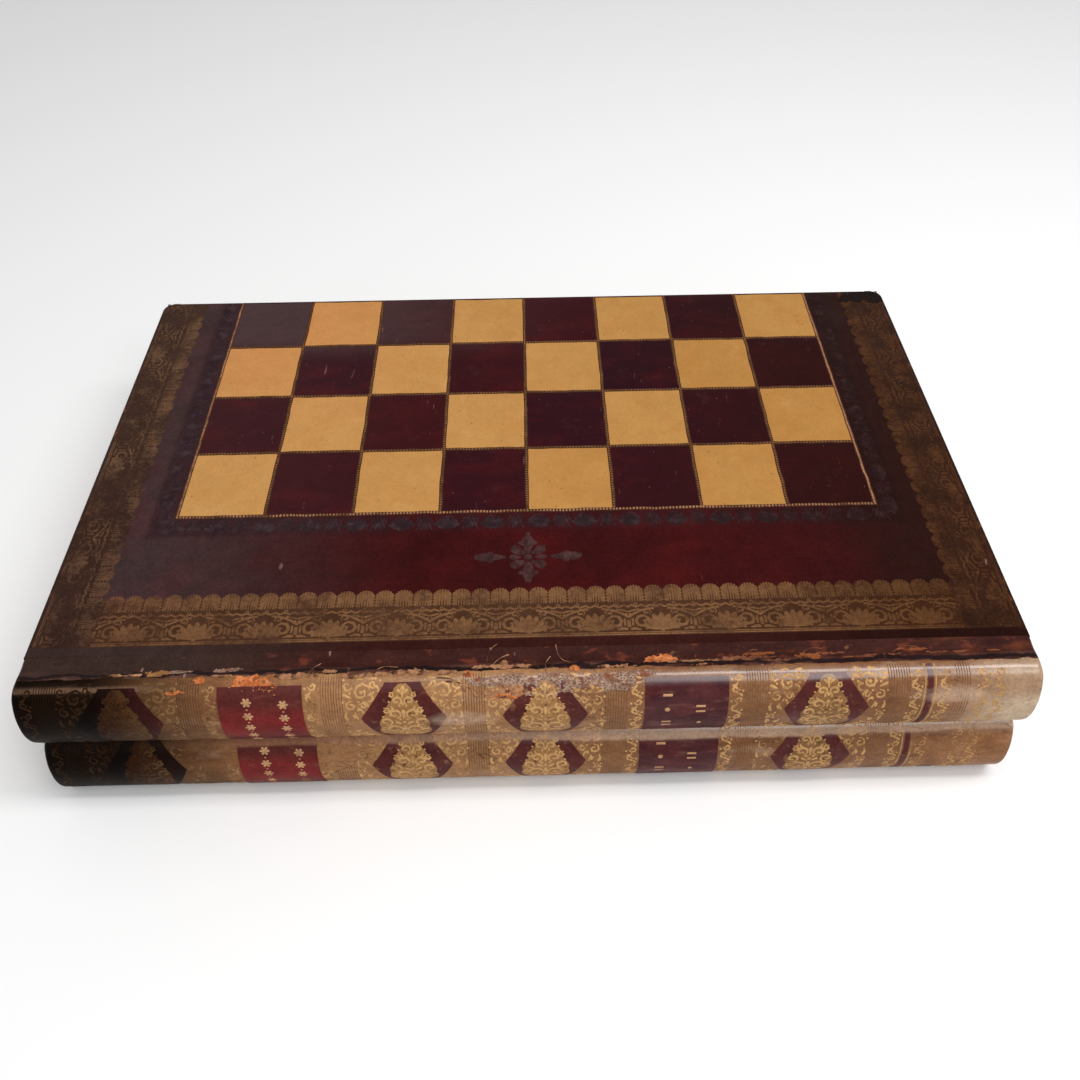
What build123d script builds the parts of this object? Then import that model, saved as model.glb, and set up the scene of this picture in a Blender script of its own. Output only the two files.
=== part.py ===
from build123d import *
import os
from math import atan2, degrees

# Folding games board in the form of two leather-bound folio volumes, one on the other.
# Millimetres. X runs along the spines, the spines face -Y, the fore edges and the hinges are at +Y.
# The origin is under the middle of the closed box, on the surface it lies on.
# Both volumes are drawn as the lower one, from its outer face up, and the upper one is its mirror image.

# Chess squares onlaid on each outer cover
SQUARE = 42.0
COLUMNS = 8
ROWS = 4
SQUARE_THICKNESS = 0.6

# Covers
SIDE_BORDER = 47.0
BACK_BORDER = 0.6
FRONT_BORDER = 76.0
BOARD_THICKNESS = 3.5
LEATHER = 1.2
EDGE_LEATHER = 1.0
TURN_IN_THICKNESS = 0.8
CORNER_RADIUS = 6.0

# Spines
VOLUME_HEIGHT = 40.0
GROOVE_WIDTH = 10.0
GROOVE_DEPTH = 2.5
CREST_WIDTH = 2.0
SPINE_BULGE = 12.0
SPINE_CORNER_RADIUS = 9.0
SEAM_TURN_IN = 6.0

# Labels on the spine, placed along it from its middle
LABEL_THICKNESS = 0.3
LABEL_MARGIN = 3.0
TITLE_LABEL_LENGTH = 35.0
TITLE_LABEL_X = -112.3
NUMBER_LABEL_LENGTH = 35.0
NUMBER_LABEL_X = 65.3

# Tray walls, which look like the page block
BOARD_OVERHANG = 3.0
WALL_THICKNESS = 9.0
RIM_THICKNESS = 4.5

# Linings and backgammon points
LINING = 0.8
POINT_THICKNESS = 0.4
POINT_LENGTH = 165.0
POINT_SIDE_GAP = 1.0
POINTS_PER_SIDE = 6

# Hinges
SEAM_GAP = 0.3
HINGE_INSET = 85.0
HINGE_LENGTH = 38.0
KNUCKLES = 5
KNUCKLE_RADIUS = 2.5
KNUCKLE_END_PLAY = 0.2
LEAF_THICKNESS = 1.2
LEAF_WIDTH = 11.0
PIN_RADIUS = 1.0
PIN_RUNNING_GAP = 0.05
HINGE_CLEARANCE = 0.3
MORTISE_GAP = 0.1

# Hinge screws
SCREWS_PER_LEAF = 3
SCREW_PITCH = 13.0
SCREW_INSET = 7.2
SCREW_HEAD_RADIUS = 2.0
SCREW_RADIUS = 0.9
SCREW_HEAD_DEPTH = 1.1
SCREW_LENGTH = 11.0

# Sizes that follow
block_length = COLUMNS * SQUARE
block_depth = ROWS * SQUARE
length = block_length + 2 * SIDE_BORDER
cover_depth = FRONT_BORDER + block_depth + BACK_BORDER
volume_top = VOLUME_HEIGHT - SEAM_GAP / 2
spine_depth = LABEL_THICKNESS + SPINE_BULGE + CREST_WIDTH + GROOVE_WIDTH
total_depth = spine_depth + cover_depth + SEAM_GAP / 2 + KNUCKLE_RADIUS

# Places across the volume, from the spine back to the hinge
spine_front = LABEL_THICKNESS - total_depth / 2
crest_y = spine_front + SPINE_BULGE
groove_front = crest_y + CREST_WIDTH
cover_front = groove_front + GROOVE_WIDTH
squares_front = cover_front + FRONT_BORDER
cover_back = cover_front + cover_depth
hinge_y = cover_back + SEAM_GAP / 2
hinge_x = length / 2 - HINGE_INSET

# Levels up the volume, from its outer face
board_bottom = LEATHER
board_top = board_bottom + BOARD_THICKNESS
turn_in_top = board_top + TURN_IN_THICKNESS
rim_bottom = volume_top - RIM_THICKNESS
lining_top = board_top + LINING

# The page block and the tray inside it
rim_width = BOARD_OVERHANG + WALL_THICKNESS
rim_front = crest_y + SEAM_TURN_IN
page_x = length / 2 - BOARD_OVERHANG
page_back = cover_back - BOARD_OVERHANG
tray_x = length / 2 - rim_width
tray_front = rim_front + rim_width
tray_back = cover_back - rim_width


def box(x_range, y_range, z_range):
    """A block between two corners."""
    sizes = [high - low for low, high in (x_range, y_range, z_range)]
    corner = Pos(x_range[0], y_range[0], z_range[0])
    return corner * Box(*sizes, align=(Align.MIN, Align.MIN, Align.MIN))


def cylinder_along_x(radius, x_range, y, z):
    """A round bar lying along the spine."""
    middle = (x_range[0] + x_range[1]) / 2
    return Pos(middle, y, z) * Rot(0, 90, 0) * Cylinder(radius, x_range[1] - x_range[0])


def cover_plate(edge, z_range):
    """The cover's outline, drawn in by an edge, with its two fore-edge corners rounded."""
    half = length / 2 - edge
    plate = box((-half, half), (cover_front, cover_back - edge), z_range)
    corners = plate.edges().filter_by(Axis.Z).group_by(Axis.Y)[-1]
    return fillet(corners, CORNER_RADIUS - edge)


def groove_tool(skin):
    """The round-bottomed groove between cover and spine, with the leather's skin under it."""
    radius = (GROOVE_WIDTH**2 / 4 + GROOVE_DEPTH**2) / (2 * GROOVE_DEPTH)
    middle = groove_front + GROOVE_WIDTH / 2
    return cylinder_along_x(radius + skin, (-length, length), middle, GROOVE_DEPTH - radius)


def spine_section(inset, back):
    """The rounded section of the spine, drawn in from the leather's surface, back to a flat face."""
    middle = volume_top / 2
    corner = SPINE_CORNER_RADIUS
    bulge = SPINE_BULGE
    round_radius = (bulge**2 + middle**2 - 2 * middle * corner) / (2 * (bulge - corner))
    turn = degrees(atan2(middle - corner, round_radius - bulge))
    low = CenterArc((crest_y, corner), corner - inset, 270, turn - 90)
    face = CenterArc((spine_front + round_radius, middle), round_radius - inset, 180 + turn, -2 * turn)
    high = CenterArc((crest_y, volume_top - corner), corner - inset, 180 - turn, turn - 90)
    start = (crest_y, inset)
    end = (crest_y, volume_top - inset)
    rear = Polyline(end, (back, volume_top - inset), (back, inset), start)
    return Plane.YZ * make_face([low, face, high, rear])


def spine_solid(inset, end_inset, back):
    """The rounded spine as a solid, shorter at both ends by the leather there."""
    return extrude(spine_section(inset, back), length / 2 - end_inset, both=True)


def square_places(light):
    """Middles of the light or the dark squares of the lower cover, whose back row meets the upper one's."""
    places = []
    for row in range(ROWS):
        for column in range(COLUMNS):
            is_light = (row + column) % 2 == 1
            if is_light == light:
                x = (column + 0.5) * SQUARE - block_length / 2
                places.append((x, squares_front + (row + 0.5) * SQUARE))
    return places


def squares(light):
    solids = []
    for x, y in square_places(light):
        half = SQUARE / 2
        solids.append(box((x - half, x + half), (y - half, y + half), (0, SQUARE_THICKNESS)))
    return solids


def cover_board():
    return cover_plate(EDGE_LEATHER, (board_bottom, board_top))


def cover_leather():
    """Leather over the cover board, turned in round three edges as far as the page block."""
    skin = cover_plate(0, (0, turn_in_top)) - cover_board()
    skin -= box((-page_x, page_x), (cover_front, page_back), (board_top, turn_in_top))
    half = block_length / 2
    skin -= box((-half, half), (squares_front, squares_front + block_depth), (0, SQUARE_THICKNESS))
    return skin


def spine_block():
    """Wooden spine, full length where it is rounded, and behind that a wall as long as the page block."""
    block = spine_solid(LEATHER, LEATHER, rim_front)
    block += box((-page_x, page_x), (rim_front, cover_front), (LEATHER, rim_bottom))
    block += box((-page_x, page_x), (cover_front, tray_front), (board_top, rim_bottom))
    return block - groove_tool(LEATHER)


def spine_leather():
    """Leather over the spine and through the groove, closed at the ends and turned in at the seam."""
    skin = spine_solid(0, 0, cover_front) - groove_tool(0)
    core = spine_solid(LEATHER, LEATHER, cover_front) - groove_tool(LEATHER)
    behind = box((-length, length), (rim_front, cover_front), (board_top, volume_top))
    return skin - core - behind


def spine_label(middle_x, label_length):
    """A thin leather label that follows the spine's curve."""
    patch = spine_solid(-LABEL_THICKNESS, 0, rim_front) - spine_solid(0, 0, rim_front)
    x_range = (middle_x - label_length / 2, middle_x + label_length / 2)
    return patch & box(x_range, (-total_depth, crest_y), (LABEL_MARGIN, volume_top - LABEL_MARGIN))


def end_wall(side):
    """Page-block wall at the head (side -1) or the tail (side 1)."""
    x_range = sorted((side * tray_x, side * page_x))
    return box(x_range, (tray_front, page_back), (board_top, rim_bottom))


def fore_edge_rail():
    rail = box((-tray_x, tray_x), (tray_back, page_back), (board_top, rim_bottom))
    return rail - screws()


def rim_ring():
    """The inner board cut away to a rim, drawn whole before it is mitred."""
    half = length / 2
    ring = box((-half, half), (rim_front, cover_back), (rim_bottom, volume_top))
    ring = fillet(ring.edges().filter_by(Axis.Z).group_by(Axis.Y)[-1], CORNER_RADIUS)
    return ring - box((-tray_x, tray_x), (tray_front, tray_back), (rim_bottom, volume_top))


def mitred_strip(outer, inner):
    """One side of the rim, between mitres that run from its outer corners to its inner ones."""
    outline = make_face(Polyline(outer[0], outer[1], inner[1], inner[0], outer[0]))
    return rim_ring() & extrude(Pos(0, 0, rim_bottom) * outline, RIM_THICKNESS)


def rim_end(side):
    """The rim at the head (side -1) or the tail (side 1)."""
    outer_x = side * length / 2
    inner_x = side * tray_x
    outer = ((outer_x, rim_front), (outer_x, cover_back))
    inner = ((inner_x, tray_front), (inner_x, tray_back))
    return mitred_strip(outer, inner)


def rim_long(outer_y, inner_y):
    """The rim along the spine or the fore edge."""
    half = length / 2
    outer = ((-half, outer_y), (half, outer_y))
    inner = ((-tray_x, inner_y), (tray_x, inner_y))
    return mitred_strip(outer, inner)


def rim_spine():
    return rim_long(rim_front, tray_front)


def rim_fore_edge():
    """The rim along the fore edge, cut for the leaves, knuckles and screws of the hinges."""
    strip = rim_long(cover_back, tray_back)
    for middle_x in (-hinge_x, hinge_x):
        reach = HINGE_LENGTH / 2 + MORTISE_GAP
        x_range = (middle_x - reach, middle_x + reach)
        leaf_edge = hinge_y - LEAF_WIDTH - MORTISE_GAP
        strip -= box(x_range, (leaf_edge, hinge_y), (volume_top - LEAF_THICKNESS, volume_top))
        strip -= cylinder_along_x(KNUCKLE_RADIUS + HINGE_CLEARANCE, x_range, hinge_y, VOLUME_HEIGHT)
    return strip - screws()


def table_lining():
    return box((-tray_x, tray_x), (tray_front, tray_back), (board_top, lining_top))


def wall_lining():
    """Four strips of lining round the inside of the tray, up to the rim's face."""
    levels = (lining_top, volume_top)
    front = box((-tray_x, tray_x), (tray_front, tray_front + LINING), levels)
    back = box((-tray_x, tray_x), (tray_back - LINING, tray_back), levels)
    between = (tray_front + LINING, tray_back - LINING)
    head = box((-tray_x, LINING - tray_x), between, levels)
    tail = box((tray_x - LINING, tray_x), between, levels)
    return [front, back, head, tail]


def points(light):
    """Six backgammon points of one colour: three at each end of the tray, tips towards the middle."""
    pitch = (tray_back - tray_front - 2 * LINING) / POINTS_PER_SIDE
    solids = []
    for side in (-1, 1):
        for place in range(POINTS_PER_SIDE):
            is_light = (place + (side > 0)) % 2 == 0
            if is_light != light:
                continue
            base_x = side * (tray_x - LINING)
            middle_y = tray_front + LINING + place * pitch + pitch / 2
            half = pitch / 2 - POINT_SIDE_GAP
            tip = (base_x - side * POINT_LENGTH, middle_y)
            low = (base_x, middle_y - half)
            high = (base_x, middle_y + half)
            triangle = make_face(Polyline(low, high, tip, low))
            solids.append(extrude(Pos(0, 0, lining_top) * triangle, POINT_THICKNESS, dir=(0, 0, 1)))
    return solids


def screws():
    """Countersunk screws through the two leaves of one volume."""
    top = volume_top
    slope = Pos(0, 0, top - SCREW_HEAD_DEPTH / 2)
    head = slope * Cone(SCREW_RADIUS, SCREW_HEAD_RADIUS, SCREW_HEAD_DEPTH)
    shank = Pos(0, 0, top - SCREW_LENGTH / 2) * Cylinder(SCREW_RADIUS, SCREW_LENGTH)
    screw = head + shank
    solids = []
    for middle_x in (-hinge_x, hinge_x):
        for number in range(SCREWS_PER_LEAF):
            offset = (number - (SCREWS_PER_LEAF - 1) / 2) * SCREW_PITCH
            solids.append(Pos(middle_x + offset, hinge_y - SCREW_INSET, 0) * screw)
    return solids


def hinge_leaf(middle_x, own):
    """A leaf with every second knuckle, own giving the knuckles it carries (0 or 1)."""
    half = HINGE_LENGTH / 2
    whole = (middle_x - half, middle_x + half)
    leaf = box(whole, (hinge_y - LEAF_WIDTH, hinge_y), (volume_top - LEAF_THICKNESS, volume_top))
    leaf -= cylinder_along_x(PIN_RADIUS, whole, hinge_y, VOLUME_HEIGHT)
    span = HINGE_LENGTH / KNUCKLES
    bore = PIN_RADIUS + own * PIN_RUNNING_GAP
    for number in range(KNUCKLES):
        start = middle_x - half + number * span
        if number % 2 == own:
            reach = (start + KNUCKLE_END_PLAY / 2, start + span - KNUCKLE_END_PLAY / 2)
            leaf += cylinder_along_x(KNUCKLE_RADIUS, reach, hinge_y, VOLUME_HEIGHT)
        else:
            reach = (start - KNUCKLE_END_PLAY / 2, start + span + KNUCKLE_END_PLAY / 2)
            leaf -= cylinder_along_x(KNUCKLE_RADIUS + HINGE_CLEARANCE, reach, hinge_y, VOLUME_HEIGHT)
    leaf -= cylinder_along_x(bore, whole, hinge_y, VOLUME_HEIGHT)
    return leaf - screws()


def hinge_pin(middle_x):
    half = HINGE_LENGTH / 2
    return cylinder_along_x(PIN_RADIUS, (middle_x - half, middle_x + half), hinge_y, VOLUME_HEIGHT)


def volume_pieces():
    """Every piece of one volume but its hinge leaves, as the lower volume."""
    return {
        "cover_board": cover_board(),
        "cover_leather": cover_leather(),
        "spine_block": spine_block(),
        "spine_leather": spine_leather(),
        "title_label": spine_label(TITLE_LABEL_X, TITLE_LABEL_LENGTH),
        "number_label": spine_label(NUMBER_LABEL_X, NUMBER_LABEL_LENGTH),
        "head_wall": end_wall(-1),
        "tail_wall": end_wall(1),
        "fore_edge_rail": fore_edge_rail(),
        "rim_head": rim_end(-1),
        "rim_tail": rim_end(1),
        "rim_spine": rim_spine(),
        "rim_fore_edge": rim_fore_edge(),
        "table_lining": table_lining(),
        "wall_lining": wall_lining(),
        "light_points": points(True),
        "dark_points": points(False),
        "hinge_screws": screws(),
    }


def mirrored(piece):
    """The same piece in the upper volume."""
    return mirror(piece, about=Plane.XY.offset(VOLUME_HEIGHT))


def save(name, piece):
    solids = piece if isinstance(piece, list) else [piece]
    node = Compound(children=solids) if len(solids) > 1 else solids[0]
    node.label = name
    export_step(node, os.path.join("parts", name + ".step"))


def build_games_board():
    os.makedirs("parts", exist_ok=True)
    for name, piece in volume_pieces().items():
        save("lower_" + name, piece)
        solids = piece if isinstance(piece, list) else [piece]
        save("upper_" + name, [mirrored(solid) for solid in solids])
    for shade, light in (("light", True), ("dark", False)):
        save("lower_" + shade + "_squares", squares(light))
        save("upper_" + shade + "_squares", [mirrored(solid) for solid in squares(not light)])
    for place, middle_x in (("left", -hinge_x), ("right", hinge_x)):
        save("lower_leaf_" + place, hinge_leaf(middle_x, 0))
        save("upper_leaf_" + place, mirrored(hinge_leaf(middle_x, 1)))
        save("hinge_pin_" + place, hinge_pin(middle_x))


build_games_board()
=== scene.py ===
# %% [markdown]
# A folding games board that is bound to look like two old leather volumes, one lying on the other. The
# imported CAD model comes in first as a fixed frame. Each later piece takes its place and its size from that
# frame, so nothing has to be fitted to anything afterwards.

# %% The frame
import math

import bpy
from mathutils import Matrix, Vector, noise


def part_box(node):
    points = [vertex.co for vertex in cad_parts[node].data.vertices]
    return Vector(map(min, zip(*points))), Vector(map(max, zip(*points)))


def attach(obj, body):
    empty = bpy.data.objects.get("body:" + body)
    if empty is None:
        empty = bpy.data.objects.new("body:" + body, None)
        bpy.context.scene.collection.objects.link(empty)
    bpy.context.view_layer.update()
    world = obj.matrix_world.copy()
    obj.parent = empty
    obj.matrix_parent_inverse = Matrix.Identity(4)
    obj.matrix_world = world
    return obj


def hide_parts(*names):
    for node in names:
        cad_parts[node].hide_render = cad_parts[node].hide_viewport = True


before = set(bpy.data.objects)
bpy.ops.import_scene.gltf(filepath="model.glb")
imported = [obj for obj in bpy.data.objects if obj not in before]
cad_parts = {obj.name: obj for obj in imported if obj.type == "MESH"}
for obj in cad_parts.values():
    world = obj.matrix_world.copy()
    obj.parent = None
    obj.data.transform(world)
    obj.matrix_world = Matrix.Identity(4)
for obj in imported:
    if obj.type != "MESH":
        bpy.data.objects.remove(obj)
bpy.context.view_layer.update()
MM = 0.001

# %% [markdown]
# The frame says where things are. The squares' front line is the line that all the borders on the cover are
# measured from, and the crest is where the cover's groove has ended and the spine begins to turn down.

# %% Places read from the frame
board_low, board_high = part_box("upper_cover_leather")
squares_low, squares_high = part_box("upper_light_squares")
spine_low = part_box("upper_spine_leather")[0]
rim_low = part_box("upper_rim_spine")[0]
page_high_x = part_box("upper_tail_wall")[1].x

TOP = board_high.z
SEAM = 0.5 * (spine_low.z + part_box("lower_spine_leather")[1].z)
HALF = board_high.x
COVER_FRONT = board_low.y
COVER_BACK = board_high.y
SQUARES_FRONT = squares_low.y
BLOCK_HALF = squares_high.x
SQUARE = (squares_high.y - squares_low.y) / 4
VOLUME = TOP - spine_low.z
BULGE = 12 * MM
CREST_LINE = spine_low.y + BULGE
print("squares of", round(SQUARE / MM, 1), "mm, volumes", round(VOLUME / MM, 2), "mm thick")

# %% [markdown]
# The camera stands where the photographer's did: above the spines and close, so that the back edge of the
# cover looks much shorter than the front. Its place came from fitting a pinhole camera to the corners of the
# squares. The picture was cropped low, and a small lens shift gives the same crop.

# %% The camera
CAMERA_PLACE = Vector((1.7, -355.7, 452.9)) * MM
CAMERA_ELEVATION = math.radians(43.144)
CAMERA_YAW = math.radians(0.877)
CAMERA_ROLL = math.radians(0.54)
FOCAL_PIXELS = 1015.7
PHOTO_PIXELS = 1080
CENTRE_ROW = 400

bpy.ops.object.camera_add(location=CAMERA_PLACE)
camera = bpy.context.object
camera.name = "photo_camera"
turn = Matrix.Rotation(-CAMERA_YAW, 4, "Z") @ Matrix.Rotation(math.pi / 2 - CAMERA_ELEVATION, 4, "X")
turn = turn @ Matrix.Rotation(-CAMERA_ROLL, 4, "Z")
camera.rotation_euler = turn.to_euler()
camera.data.sensor_width = 36
camera.data.lens = camera.data.sensor_width * FOCAL_PIXELS / PHOTO_PIXELS
camera.data.shift_y = (CENTRE_ROW - PHOTO_PIXELS / 2) / PHOTO_PIXELS
bpy.context.scene.camera = camera
print("lens", round(camera.data.lens, 2), "mm, shift", round(camera.data.shift_y, 3))

# %% [markdown]
# A studio with a pale floor. The photograph has one broad light from the right, a second above that shines
# along the shoulder of the spines, and a bright room that fills the rest. The room looks white to the camera
# and in reflections, and lights more weakly than it looks, so that shadows keep some depth. No lamp stands
# behind the box, because it would mirror in the waxed squares and turn them grey.

# %% Light and floor
scene = bpy.context.scene
scene.view_settings.view_transform = "Standard"


def area_light(name, place, aim, size, watts):
    """A soft box at a place, turned to its aim."""
    bpy.ops.object.light_add(type="AREA", location=place)
    lamp = bpy.context.object
    lamp.name = name
    lamp.data.shape = "RECTANGLE"
    lamp.data.size, lamp.data.size_y = size
    lamp.data.energy = watts
    lamp.rotation_euler = (Vector(aim) - Vector(place)).to_track_quat("-Z", "Y").to_euler()
    return lamp


area_light("soft_box_right", (0.6, -0.9, 1.5), (0.0, -0.05, 0.05), (0.9, 0.9), 11)
area_light("strip_above", (0.42, -0.14, 1.3), (0.12, -0.14, 0.08), (0.25, 1.2), 10)

ROOM_LIGHT = 0.45

world = bpy.data.worlds.new("white_room")
scene.world = world
world.use_nodes = True
room = world.node_tree.nodes["Background"]
room.inputs["Color"].default_value = (1, 1, 1, 1)
nodes, links = world.node_tree.nodes, world.node_tree.links
ray = nodes.new("ShaderNodeLightPath")
seen = ray.outputs["Is Camera Ray"]
for other in ("Is Glossy Ray", "Is Transmission Ray"):
    either = nodes.new("ShaderNodeMath")
    either.operation = "MAXIMUM"
    links.new(seen, either.inputs[0])
    links.new(ray.outputs[other], either.inputs[1])
    seen = either.outputs[0]
strength = nodes.new("ShaderNodeMapRange")
strength.inputs["To Min"].default_value = ROOM_LIGHT
strength.inputs["To Max"].default_value = 1.0
links.new(seen, strength.inputs["Value"])
links.new(strength.outputs["Result"], room.inputs["Strength"])

bpy.ops.mesh.primitive_plane_add(size=12, location=(0, 0, 0))
floor = bpy.context.object
floor.name = "floor"
floor_finish = bpy.data.materials.new("pale_floor")
floor_finish.use_nodes = True
floor_shader = floor_finish.node_tree.nodes["Principled BSDF"]
floor_shader.inputs["Base Color"].default_value = (0.92, 0.92, 0.92, 1)
floor_shader.inputs["Roughness"].default_value = 0.9
floor.data.materials.append(floor_finish)
print("studio ready")

# %% [markdown]
# Every finish on this box is procedural. Its patterns read Object coordinates, so they stay on the leather
# when the lid opens. Colours are written as the eye reads them in the photograph, from 0 to 255, and shaders
# want linear light, so one function turns the first into the second.

# %% Colours as the eye reads them
def colour(red, green, blue):
    """A colour as a painter's eye reads it, 0 to 255, in the linear light that shaders use."""
    linear = []
    for value in (red, green, blue):
        share = value / 255
        linear.append(share / 12.92 if share <= 0.04045 else ((share + 0.055) / 1.055) ** 2.4)
    return (*linear, 1.0)


print("a middle grey of 128 is", round(colour(128, 128, 128)[0], 3), "in linear light")

# %% [markdown]
# A small class keeps the node calls short, so that each finish below reads as a recipe: a ground colour,
# what age has done to it, its gloss and its relief. One object of the class is one material. Calls such as
# noise, cells and step add a node and hand back its output, which goes into the next call. Sizes of patterns
# are in millimetres.

# %% A class for finishes
class Finish:
    """A material, with short calls for its nodes."""

    def __init__(self, name, roughness, metallic=0.0, shine=0.02):
        self.material = bpy.data.materials.new(name)
        self.material.use_nodes = True
        self.tree = self.material.node_tree
        self.shader = self.tree.nodes["Principled BSDF"]
        self.shader.inputs["Roughness"].default_value = roughness
        self.shader.inputs["Metallic"].default_value = metallic
        self.shader.inputs["Specular IOR Level"].default_value = shine
        self.place = self.add("ShaderNodeTexCoord").outputs["Object"]

    def add(self, kind, inputs=(), **settings):
        """Adds a node. An input that is another node's socket is linked, and any other value is set."""
        made = self.tree.nodes.new(kind)
        for key, value in settings.items():
            setattr(made, key, value)
        for key, value in dict(inputs).items():
            if isinstance(value, bpy.types.NodeSocket):
                self.tree.links.new(value, made.inputs[key])
            else:
                made.inputs[key].default_value = value
        return made

    def noise(self, size, detail=4.0, stretch=(1, 1, 1), shift=0.0):
        """Cloudy noise whose blots are about size millimetres, longer along an axis with a small stretch."""
        scale = tuple(share / (size * MM) for share in stretch)
        moved = {"Vector": self.place, "Scale": scale, "Location": (shift, shift, shift)}
        mapped = self.add("ShaderNodeMapping", moved).outputs["Vector"]
        inputs = {"Vector": mapped, "Scale": 1.0, "Detail": detail, "Roughness": 0.6}
        return self.add("ShaderNodeTexNoise", inputs).outputs["Fac"]

    def cells(self, size, feature="F1", stretch=(1, 1, 1)):
        """Distance to the nearest cell middle, or to the nearest edge, in a pattern of cells."""
        scale = tuple(share / (size * MM) for share in stretch)
        mapped = self.add("ShaderNodeMapping", {"Vector": self.place, "Scale": scale}).outputs["Vector"]
        made = self.add("ShaderNodeTexVoronoi", {"Vector": mapped, "Scale": 1.0}, feature=feature)
        return made.outputs["Distance"]

    def axis(self, letter):
        """One coordinate of the place on the object, in metres."""
        return self.add("ShaderNodeSeparateXYZ", {"Vector": self.place}).outputs[letter]

    def calc(self, operation, first, second=0.0, third=0.0):
        """A number worked out afresh at every point of the surface."""
        return self.add("ShaderNodeMath", {0: first, 1: second, 2: third}, operation=operation).outputs[0]

    def plus(self, first, second):
        return self.calc("ADD", first, second)

    def minus(self, first, second):
        return self.calc("SUBTRACT", first, second)

    def times(self, first, second):
        return self.calc("MULTIPLY", first, second)

    def scaled(self, value, factor, offset):
        """The value times a factor, plus an offset."""
        return self.calc("MULTIPLY_ADD", value, factor, offset)

    def step(self, value, low, high):
        """A soft step from 0 at low to 1 at high."""
        inputs = {"Value": value, "From Min": low, "From Max": high}
        made = self.add("ShaderNodeMapRange", inputs, interpolation_type="SMOOTHSTEP")
        return made.outputs["Result"]

    def mix(self, share, first, second, blend="MIX"):
        """The first colour where share is 0, the second where it is 1."""
        made = self.add("ShaderNodeMix", {0: share, 6: first, 7: second}, data_type="RGBA", blend_type=blend)
        return made.outputs[2]

    def shade(self, base, share, tint):
        """A colour multiplied by a tint, as far as share says."""
        return self.mix(share, base, tint, "MULTIPLY")

    def wear(self, size, low, high, **more):
        """Blots of wear: 0 where the surface is sound, 1 where it has gone."""
        return self.step(self.noise(size, **more), low, high)

    def grain(self, size, depth):
        """Leather grain: creased cells with a finer tooth in them."""
        pits = self.cells(size, feature="DISTANCE_TO_EDGE")
        creases = self.step(pits, 0.0, 0.22)
        height = self.scaled(self.noise(size * 0.6), 0.5, creases)
        inputs = {"Height": height, "Strength": 0.6, "Distance": depth * MM}
        bump = self.add("ShaderNodeBump", inputs)
        self.tree.links.new(bump.outputs["Normal"], self.shader.inputs["Normal"])

    def coat(self, share, roughness):
        """A thin polish on top, as thick as share says."""
        self.tree.links.new(share, self.shader.inputs["Coat Weight"])
        self.shader.inputs["Coat Roughness"].default_value = roughness

    def paint(self, base, roughness=None, mottle=0.35):
        """Sets the colour, broken by a fine mottle, and the gloss."""
        for share, dark, light in (
                (self.wear(1.4, 0.25, 0.75, shift=13), (0.45, 0.42, 0.4, 1), (1.35, 1.35, 1.35, 1)),
                (self.wear(7, 0.3, 0.7, shift=14), (0.6, 0.58, 0.56, 1), (1.2, 1.2, 1.2, 1))):
            base = self.shade(base, mottle, self.mix(share, dark, light))
        self.tree.links.new(base, self.shader.inputs["Base Color"])
        if roughness is not None:
            self.tree.links.new(roughness, self.shader.inputs["Roughness"])
        print("finish", self.material.name, "has", len(self.tree.nodes), "nodes")

# %% [markdown]
# The cover is crimson calf inside and brown under the gilt roll. A painted grey sheen turns the left side a
# grey maroon, the middle stays bright, and there are small scuffs and dark spots all over. The zones follow
# the borders, which are measured outwards from the block of squares.

# %% The borders on the cover
BLIND_ROLL = 12 * MM
PANEL_FRONT = 48 * MM
PANEL_SIDE = 22.5 * MM
BAND = 23.3 * MM


def border_distance(finish, side, front):
    """How far a place lies outside a frame that stands off the squares by side and by front."""
    beyond_side = finish.minus(finish.calc("ABSOLUTE", finish.axis("X")), BLOCK_HALF + side)
    beyond_front = finish.minus(SQUARES_FRONT - front, finish.axis("Y"))
    return finish.calc("MAXIMUM", beyond_side, beyond_front)


def left_end(finish, start=-20 * MM, end=-170 * MM):
    """0 on the right of the box and 1 towards its left end, worn most there, with painted shade and sheen."""
    return finish.step(finish.axis("X"), start, end)


def right_end(finish, start=60 * MM, end=185 * MM):
    """0 on the left and 1 towards the right end, which is browner and darker."""
    return finish.step(finish.axis("X"), start, end)


def near_left(finish):
    """The left end's front half, where the gilt roll is darkest."""
    front_half = finish.step(finish.axis("Y"), 10 * MM, -30 * MM)
    return finish.times(left_end(finish, -140 * MM, -180 * MM), front_half)


print("borders placed from the squares")

# %% [markdown]
# The leather's ground colour is built zone by zone: the panel with its red clouds, the blind roll, the brown
# border under the gold, and the plain strip next to the joint. Each zone is a soft step on its distance.

# %% The cover's ground colour
NEAR_LEFT_TINT = (0.84, 0.8, 0.86, 1)


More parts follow.
